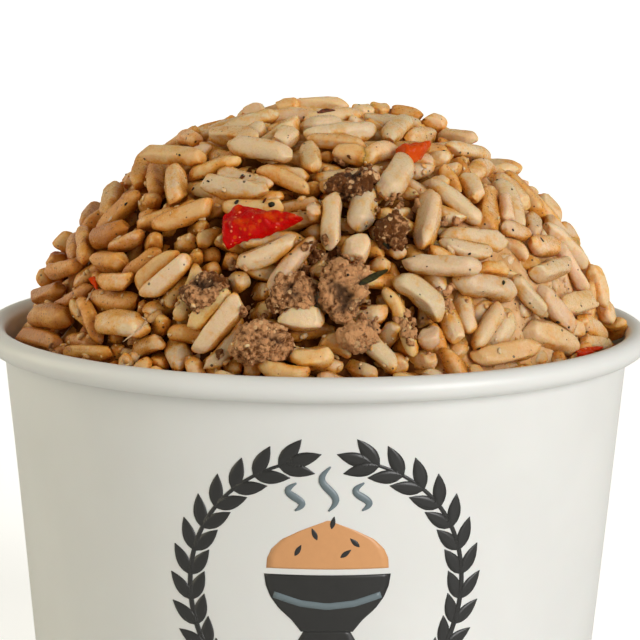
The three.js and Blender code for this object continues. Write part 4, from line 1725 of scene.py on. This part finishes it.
class RICE_OT_crumbs(bpy.types.Operator):
    """Scatters broken bits, crumbs, black pepper, herbs and spice flakes over the heap"""

    bl_idname = "rice.crumbs"
    bl_label = "Crumbs, herbs and spice"

    # where black specks show large in the photograph, in pixels, with their widths in millimetres
    BIG_SPECKS = (
        (558, 322, 0.75), (491, 256, 0.45), (545, 318, 0.45), (576, 336, 0.4), (586, 332, 0.4),
        (513, 230, 0.4), (223, 190, 0.55), (242, 176, 0.6), (193, 189, 0.5), (126, 204, 0.5),
        (388, 247, 0.7), (348, 275, 0.5), (497, 180, 0.4), (431, 134, 0.4), (237, 202, 0.8),
        (250, 176, 0.4),
    )
    # both ends of a leaf in pixels, and its half width in millimetres
    LEAVES = ((358, 285, 389, 269, 0.42), (383, 243, 391, 248, 0.3), (268, 205, 275, 204, 0.35))
    FLAKES = ((317, 113, 335, 110, 0.36),)
    FIBRES = (
        (142, 328, 149, 317, 0.16), (124, 341, 148, 322, 0.12), (86, 302, 94, 288, 0.12),
        (384, 207, 391, 199, 0.16),
    )
    # where scraps of meat lie thickly: x, y, spread in pixels and how many
    SCRAPS = (
        (320, 258, 9, 26), (345, 262, 14, 24), (355, 310, 12, 20), (262, 318, 10, 14),
        (205, 300, 16, 18), (250, 345, 22, 20), (408, 318, 8, 18), (412, 335, 9, 14),
        (398, 205, 14, 22), (345, 170, 16, 14), (452, 300, 10, 14), (240, 262, 8, 8),
        (60, 352, 9, 12), (440, 215, 10, 10),
    )
    CRUMB_SHARES = {"pale": 0.3, "tan": 0.3, "golden": 0.15, "orange": 0.1, "brown": 0.15}
    # where pale crumbs of rice show, in pixels, with their sizes in millimetres
    PALE_CRUMBS = (
        (451, 250, 0.5), (154, 315, 0.9), (128, 353, 0.7), (134, 357, 0.9), (126, 360, 0.6),
        (178, 304, 0.35), (193, 305, 0.35), (233, 345, 0.35), (247, 346, 0.35), (224, 190, 0.3),
        (80, 312, 0.5), (147, 316, 0.6),
    )

    ROUGH = 0.30

    def execute(self, context):
        settings = context.scene.rice_settings
        toppings = context.scene.topping_settings
        lay = heap_surface(), Ground(), np.random.default_rng(settings.seed + 3)
        self.crumbs(settings, *lay)
        self.specks(toppings, *lay)
        self.scraps(toppings, *lay)
        herb = plant_material("Dried herb", toppings.herb_colour, toppings.herb_dark)
        self.leaves("herb_leaves", self.LEAVES, 6, herb, *lay)
        flake = plant_material("Spice flake", toppings.flake_colour, toppings.flake_dark)
        self.leaves("spice_flakes", self.FLAKES, 10, flake, *lay)
        fibre = plant_material("Pale fibre", toppings.fibre_colour, toppings.fibre_dark)
        self.leaves("pale_fibres", self.FIBRES, 6, fibre, *lay)
        return {"FINISHED"}

    @classmethod
    def lumps(cls, centres, facing, sizes, spans, lift, detail, random):
        """Uneven lumps. spans has the least and the greatest half sizes, as shares of their size."""
        halves = sizes[:, None] * random.uniform(*spans, (len(sizes), 3))
        frames = random_frames(facing, random)
        places = centres + facing * halves[:, 2:] * lift
        return lump_points(places, frames, halves, *detail, cls.ROUGH, random)

    @classmethod
    def crumbs(cls, settings, surface, ground, random):
        shown, count = cls.PALE_CRUMBS, settings.crumb_count
        centres, facing = ground.shown_and_scattered(shown, count, 0.02, surface, random)
        small = np.minimum(random.gamma(2.2, 0.065, count) + 0.09, 0.8)
        sizes = np.concatenate([[size for _, _, size in shown], small])
        spans = (0.9, 0.6, 0.5), (1.7, 1.0, 0.85)
        points = cls.lumps(centres, facing, sizes, spans, 0.35, (6, 9), random)
        finishes, shares = zip(*cls.CRUMB_SHARES.items())
        names = random.choice(finishes, len(sizes), p=shares)
        colours = np.array([getattr(settings, name + "_colour") for name in names])
        flat, values = coloured(points, colours)
        faces = grain_faces(len(points), 6, 9)
        obj = mesh_object("rice_crumbs", flat, faces, crumb_material(settings), values)
        belongs(obj, "rice")

    @classmethod
    def specks(cls, toppings, surface, ground, random):
        shown, count = cls.BIG_SPECKS, 260
        centres, facing = ground.shown_and_scattered(shown, count, 0.8, surface, random)
        small = random.gamma(4, 0.022, count) + 0.04
        sizes = np.concatenate([[width / 2 for _, _, width in shown], small])
        spans = (0.8, 0.6, 0.35), (1.3, 1.0, 0.6)
        points = cls.lumps(centres + facing * 0.02, facing, sizes, spans, 0.0, (4, 6), random)
        colour = toppings.black_spice
        material = plant_material("Black pepper", [c * 3 for c in colour], colour)
        lump_piece("black_pepper_specks", points, material, "rice")

    @classmethod
    def scraps(cls, toppings, surface, ground, random):
        """Scraps of meat on the rice round the crumbles, under their pixels in the photograph."""
        landed = []
        for x, y, breadth, count in cls.SCRAPS:
            for _ in range(count):
                aside = random.normal(0, breadth)
                hit = ground.below_pixel(x + aside, y + random.normal(0, breadth * 0.7))
                if hit is not None and surface.depth(hit[0])[0] >= 1.0:
                    landed.append(hit)
        centres, facing = (np.array(values) for values in zip(*landed))
        sizes = np.minimum(random.gamma(2.5, 0.11, len(centres)) + 0.14, 0.85)
        spans = (0.8, 0.6, 0.5), (1.5, 1.0, 0.8)
        points = cls.lumps(centres, facing, sizes, spans, 0.2, (10, 14), random)
        away = unit(points - centres[:, None, None])
        points = points + away * (0.09 * ripple(random, points, 0.8, 12))[..., None]
        tone = np.broadcast_to(random.normal(0.12, 0.14, (len(points), 1, 1)), points.shape[:-1])
        lump_piece("meat_scraps", points, meat_material(toppings), "meat", {"tone": tone})

    @staticmethod
    def leaves(name, placed, others, material, surface, ground, random):
        centres, frames, halves = [], [], []
        for x0, y0, x1, y1, width in placed:
            first, second = ground.resting(x0, y0, x1, y1)
            centre = (first + second) / 2
            axis = unit(second - first)
            side = unit(np.cross(CAMERA_PLACE - centre, axis))
            centres.append(centre)
            frames.append([axis, side, np.cross(axis, side)])
            halves.append((np.linalg.norm(second - first) / 2, width, width * 0.45))
        spots, normals = ground.scattered(surface, random, others, 0.6)
        for spot, outward, frame_rows in zip(spots, normals, random_frames(normals, random)):
            centres.append(spot + outward * 0.1)
            frames.append(frame_rows)
            halves.append(random.uniform((0.35, 0.12, 0.06), (0.9, 0.24, 0.10)))
        arrays = [np.array(values) for values in (centres, frames, halves)]
        lump_piece(name, lump_points(*arrays, 14, 8, 0.18, random), material, "rice")


class Wall:
    """The shape of the cup's wall, in millimetres: a cone that is a little uneven, as board is."""

    @staticmethod
    def slope(settings):
        curl = settings.curl / MM / 2
        top = RIM_RADIUS - 2 * curl + settings.board / MM
        foot = settings.foot_diameter / MM / 2
        return (top - foot) / (RIM_HEIGHT - curl)

    @classmethod
    def outside(cls, settings, turn, height):
        foot = settings.foot_diameter / MM / 2
        waves = np.sin(5 * turn + 0.05 * height) + 0.7 * np.sin(11 * turn + 0.09 * height + 2)
        fading = np.clip(height / 12, 0, 1) * np.clip((RIM_HEIGHT - 5 - height) / 10, 0, 1)
        return foot + cls.slope(settings) * height + settings.unevenness / MM * waves * fading


class CUP_OT_cup(bpy.types.Operator):
    """Builds the paper cup: wall with rolled rim and folded foot, seam and base"""

    bl_idname = "cup.cup"
    bl_label = "Paper cup"

    SEGMENTS = 224
    CURL_STEPS = 22
    CURL_SWEEP = math.radians(300)
    SEAM_WIDTH = 7.0

    def execute(self, context):
        settings = context.scene.cup_settings
        material = paper_material(settings)
        board = settings.board / MM
        curl = settings.curl / MM / 2
        foot = settings.foot_diameter / MM / 2
        fold = settings.foot_fold / MM
        slope = Wall.slope(settings)
        centre_r, centre_z = RIM_RADIUS - curl, RIM_HEIGHT - curl

        def outer(height):
            return foot + slope * height

        def arc(radius):
            angles = np.pi - np.linspace(0, self.CURL_SWEEP, self.CURL_STEPS)
            return [
                (centre_r + radius * math.cos(a), centre_z + radius * math.sin(a)) for a in angles
            ]

        fold_top = BASE_LOW[2] - 0.3
        heights = np.linspace(0.35, centre_z, 26)[:-1]
        profile = [(foot - fold + 0.2, 0.0), (foot - 0.3, 0.0), (foot - 0.08, 0.1)]
        profile += [(outer(z), z) for z in heights]
        profile += arc(curl - board)
        profile += arc(curl)[::-1]
        profile += [(outer(z) - board, z) for z in heights[::-1] if z > fold_top]
        profile += [(outer(fold_top) - board, fold_top)]
        profile += [(foot - fold, fold_top), (foot - fold, 0.2)]
        points, quads = lathe(profile, self.SEGMENTS)
        radius = np.linalg.norm(points[:, :2], axis=1)
        turn = np.arctan2(points[:, 1], points[:, 0])
        uneven = Wall.outside(settings, turn, points[:, 2]) - outer(points[:, 2])
        points[:, :2] *= ((radius + uneven) / radius)[:, None]
        wall = mesh_object("paper_cup_wall", points, quads, material)
        belongs(wall, "paper", "cup_wall")

        inner = outer(BASE_LOW[2]) - board - 0.05
        low, high = BASE_LOW[2], BASE_HIGH[2]
        disc = ((0.01, low), (inner - 1.0, low), (inner, low + 0.1), (inner, high), (0.01, high))
        points, quads = lathe(disc, self.SEGMENTS)
        base = mesh_object("paper_cup_base", points, quads, material)
        belongs(base, "paper", "cup_base")

        half = self.SEAM_WIDTH / 2
        middle = RIM_HEIGHT / 2
        strip = ribbon([(0, 1.5 - middle), (0, centre_z - 2.0 - middle)], [half, half], 40, 8)
        points, quads = on_wall(settings, [strip], np.pi / 2, middle, board * 0.6)
        belongs(mesh_object("paper_cup_seam", points, quads, material), "paper")
        return {"FINISHED"}


def ribbon(path, half_widths, along=14, across=4):
    """A flat shape as a grid of places: half widths to each side of a path of (right, up) in mm."""
    path = np.array(path, float)
    steps = np.concatenate([[0], np.cumsum(np.linalg.norm(np.diff(path, axis=0), axis=1))])
    where = np.linspace(0, steps[-1], along)
    middle = np.stack([np.interp(where, steps, path[:, k]) for k in range(2)], axis=-1)
    half = np.interp(where, np.linspace(0, steps[-1], len(half_widths)), half_widths)
    heading = unit(np.gradient(middle, axis=0))
    aside = np.stack([heading[:, 1], -heading[:, 0]], axis=-1)
    reach = half[:, None] * np.linspace(-1, 1, across)
    return middle[:, None] + aside[:, None] * reach[..., None]


def on_wall(settings, grids, turn, height, proud):
    """Closed thin shapes on the cup's wall, from grids about a direction and a height."""
    points, faces, start = [], [], 0
    for grid in grids:
        rows, columns = grid.shape[:2]
        around = turn + grid[..., 0] / Wall.outside(settings, turn, height)
        up = height + grid[..., 1]
        for lift in (-0.05, proud):
            radius = Wall.outside(settings, around, up) + lift
            spots = np.stack([radius * np.cos(around), radius * np.sin(around), up], -1)
            points.append(spots.reshape(-1, 3))
        i, j = np.meshgrid(np.arange(rows - 1), np.arange(columns - 1), indexing="ij")
        corner = (i * columns + j).ravel()
        upper = np.stack([corner, corner + 1, corner + columns + 1, corner + columns], axis=-1)
        lower = upper[:, ::-1] + rows * columns
        edge = np.concatenate(
            [
                np.arange(columns - 1),
                np.arange(rows - 1) * columns + columns - 1,
                (rows - 1) * columns + np.arange(columns - 1, 0, -1),
                np.arange(rows - 1, 0, -1) * columns,
            ]
        )
        after = np.roll(edge, -1)
        sides = np.stack([edge, edge + rows * columns, after + rows * columns, after], axis=-1)
        faces.append(np.concatenate([upper, lower, sides]) + start)
        start += 2 * rows * columns
    return np.concatenate(points), np.concatenate(faces)


class CUP_OT_print(bpy.types.Operator):
    """Prints a wreath of two ears of rice round a heaped bowl on the cup's front"""

    bl_idname = "cup.print"
    bl_label = "Print"

    MIDDLE = (math.radians(-87.5), 32.8)  # direction and height of the print's middle
    WREATH_RADIUS = 18.3
    INK = 0.035  # how far the ink stands out
    LEAF = (4.6, 0.95)  # length and half width
    LEAVES = 13
    # the dark grains in the heap: how far right and up, and how far they lean
    GRAINS = ((-4.2, 5.2, 0.5), (-1.4, 7.4, -0.4), (1.6, 5.0, 0.9), (4.0, 6.4, -0.8), (0.4, 8.9, 0.2))

    def execute(self, context):
        settings = context.scene.cup_settings
        bowl_half = (8.2, 8.0, 7.4, 6.3, 4.6, 3.4)
        black = [*self.wreath(), ribbon([(0, 2.6), (0, -5.2)], bowl_half, 20, 16)]
        black.append(ribbon([(0, -5.2), (0, -6.6)], (3.1, 3.9), 6, 8))
        tan = [ribbon([(0, 3.4), (0, 10.0)], (7.9, 7.8, 7.2, 5.9, 3.4, 0.15), 24, 16)]
        band = ((-7.0, -0.2), (-3.5, -1.3), (0, -1.7), (3.5, -1.3), (7.0, -0.2))
        grey = [ribbon(band, [0.45], 24, 3)]
        for right, top in ((-4.2, 15.0), (0.0, 17.2), (4.2, 15.0)):
            rise = np.linspace(0, 1, 14)
            curl = [(right + 0.9 * math.sin(6.5 * s), 11.3 + (top - 11.3) * s) for s in rise]
            grey.append(ribbon(curl, (0.1, 0.45, 0.5, 0.4, 0.1), 26, 3))
        for right, up, lean in self.GRAINS:
            black.append(self.leaf((right, up), lean, 1.7, 0.33))
        for name, grids, colour, proud in (
            ("print_tan", tan, settings.ink_tan, self.INK),
            ("print_black", black, settings.ink_black, self.INK * 1.6),
            ("print_grey", grey, settings.ink_grey, self.INK * 2.2),
        ):
            points, quads = on_wall(settings, grids, *self.MIDDLE, proud)
            belongs(mesh_object(name, points, quads, ink_material(name, colour)), "paper")
        return {"FINISHED"}

    @staticmethod
    def leaf(start, heading, length, half):
        """A pointed leaf from a place, heading as an angle from straight up, clockwise."""
        end = (start[0] + length * math.sin(heading), start[1] + length * math.cos(heading))
        return ribbon([start, end], (0.05, 0.75 * half, half, 0.9 * half, 0.55 * half, 0.03), 12, 4)

    def wreath(self):
        shapes = []
        radius = self.WREATH_RADIUS
        for side in (-1, 1):
            turns = np.linspace(math.radians(176), math.radians(17), 60)
            stem = [(side * radius * math.sin(a), radius * math.cos(a)) for a in turns]
            shapes.append(ribbon(stem, (0.45, 0.4, 0.3, 0.2), 60, 3))
            for a in np.linspace(math.radians(150), math.radians(20), self.LEAVES):
                start = (side * radius * math.sin(a), radius * math.cos(a))
                along_stem = side * (a - math.pi / 2)
                for lean in (-0.55, 0.55):
                    shapes.append(self.leaf(start, along_stem + lean, *self.LEAF))
            tip = (side * radius * math.sin(turns[-1]), radius * math.cos(turns[-1]))
            shapes.append(self.leaf(tip, side * (turns[-1] - math.pi / 2), *self.LEAF))
        return shapes


class STAGE_OT_studio(bpy.types.Operator):
    """Makes the camera, the lights, the sky and the floor"""

    bl_idname = "stage.studio"
    bl_label = "Studio"

    FLOOR_HALF = 9000.0  # half the floor's side, in millimetres

    def execute(self, context):
        settings = context.scene.stage_settings
        self.camera(context)
        self.sun("key", 46, 18, 36, settings.key_strength, settings.key_colour)
        self.sun("fill", -100, 20, 50, settings.fill_strength, settings.fill_colour)
        context.scene.world = self.sky(settings)
        context.scene.view_settings.view_transform = "Standard"
        self.floor(settings)
        return {"FINISHED"}

    @staticmethod
    def sky(settings):
        """An even sky that is weaker overhead than at the sides."""
        world = bpy.data.worlds.new("White sky")
        world.use_nodes = True
        shader = Shader(world.node_tree)
        background = world.node_tree.nodes["Background"]
        background.inputs["Color"].default_value = rgba(settings.sky_colour)
        way = shader.node("ShaderNodeTexCoord").outputs["Generated"]
        height = shader.node("ShaderNodeSeparateXYZ", {"Vector": way}).outputs["Z"]
        overhead = settings.sky_strength * settings.sky_overhead
        strength = shader.spread(height, 0.0, 1.0, settings.sky_strength, overhead)
        shader.link(strength, background.inputs["Strength"])
        return world

    @classmethod
    def floor(cls, settings):
        material, shader, surface = new_material("Pale floor", Roughness=0.85)
        surface.inputs["Emission Color"].default_value = (1, 1, 1, 1)
        patches = shader.mottle(4.0, 0.5)
        pale = rgba(settings.floor_colour)
        paler = rgba([min(1.0, c * 1.03) for c in settings.floor_colour])
        seen = shader.node("ShaderNodeLightPath").outputs["Is Camera Ray"]
        body = shader.mix(seen, rgba([settings.floor_dimmed] * 3), shader.mix(patches, pale, paler))
        shader.link(body, surface.inputs["Base Color"])
        glow = shader.spread(seen, 0.0, 1.0, settings.floor_bounce, settings.floor_glow)
        shader.link(glow, surface.inputs["Emission Strength"])
        half = cls.FLOOR_HALF
        corners = np.array([[-half, -half, 0], [half, -half, 0], [half, half, 0], [-half, half, 0]])
        mesh_object("floor", corners, np.array([[0, 1, 2, 3]]), material)

    @staticmethod
    def camera(context):
        data = bpy.data.cameras.new("photo_camera")
        data.sensor_width = SENSOR_WIDTH
        data.lens = FOCAL_PIXELS * SENSOR_WIDTH / PHOTO_SIDE
        data.clip_end = 100.0
        camera = linked(bpy.data.objects.new("photo_camera", data))
        axes = np.stack([VIEW_RIGHT, VIEW_UP, VIEW_BACK], axis=1)
        pose = Matrix(axes.tolist()).to_4x4() @ Matrix.Rotation(CAMERA_ROLL, 4, "Z")
        pose.translation = Vector(CAMERA_PLACE * MM)
        camera.matrix_world = pose
        context.scene.camera = camera

    @staticmethod
    def sun(name, right, up, breadth, strength, colour):
        """A soft light: degrees to the right of the camera and up, and its breadth in degrees."""
        data = bpy.data.lights.new(name, "SUN")
        data.energy = strength
        data.color = colour
        data.angle = math.radians(breadth)
        lamp = linked(bpy.data.objects.new(name, data))
        turn, rise = math.radians(right - 90), math.radians(up)
        level = math.cos(rise)
        towards = Vector((level * math.cos(turn), level * math.sin(turn), math.sin(rise)))
        lamp.rotation_euler = towards.to_track_quat("Z", "Y").to_euler()


class RICE_PT_panel(bpy.types.Panel):
    """Lists the operators, in the order that they are run"""

    bl_label = "Dirty Rice"
    bl_idname = "RICE_PT_panel"
    bl_space_type = "VIEW_3D"
    bl_region_type = "UI"
    bl_category = "Dirty Rice"

    def draw(self, context):
        for operator in OPERATORS:
            self.layout.operator(operator.bl_idname)


OPERATORS = (
    STAGE_OT_studio,
    CUP_OT_cup,
    CUP_OT_print,
    RICE_OT_grains,
    RICE_OT_core,
    RICE_OT_meat,
    RICE_OT_pepper,
    RICE_OT_crumbs,
)
SETTINGS = {
    "rice_settings": RiceSettings,
    "topping_settings": ToppingSettings,
    "cup_settings": CupSettings,
    "stage_settings": StageSettings,
}


def register():
    for cls in (*SETTINGS.values(), *OPERATORS, RICE_PT_panel):
        bpy.utils.register_class(cls)
    for name, cls in SETTINGS.items():
        setattr(bpy.types.Scene, name, bpy.props.PointerProperty(type=cls))


def unregister():
    for name in SETTINGS:
        delattr(bpy.types.Scene, name)
    for cls in (RICE_PT_panel, *reversed(OPERATORS), *reversed(SETTINGS.values())):
        bpy.utils.unregister_class(cls)


def main():
    register()
    bpy.ops.stage.studio()
    bpy.ops.cup.cup()
    bpy.ops.cup.print()
    bpy.ops.rice.grains()
    bpy.ops.rice.core()
    bpy.ops.rice.meat()
    bpy.ops.rice.pepper()
    bpy.ops.rice.crumbs()


if __name__ == "__main__":
    main()
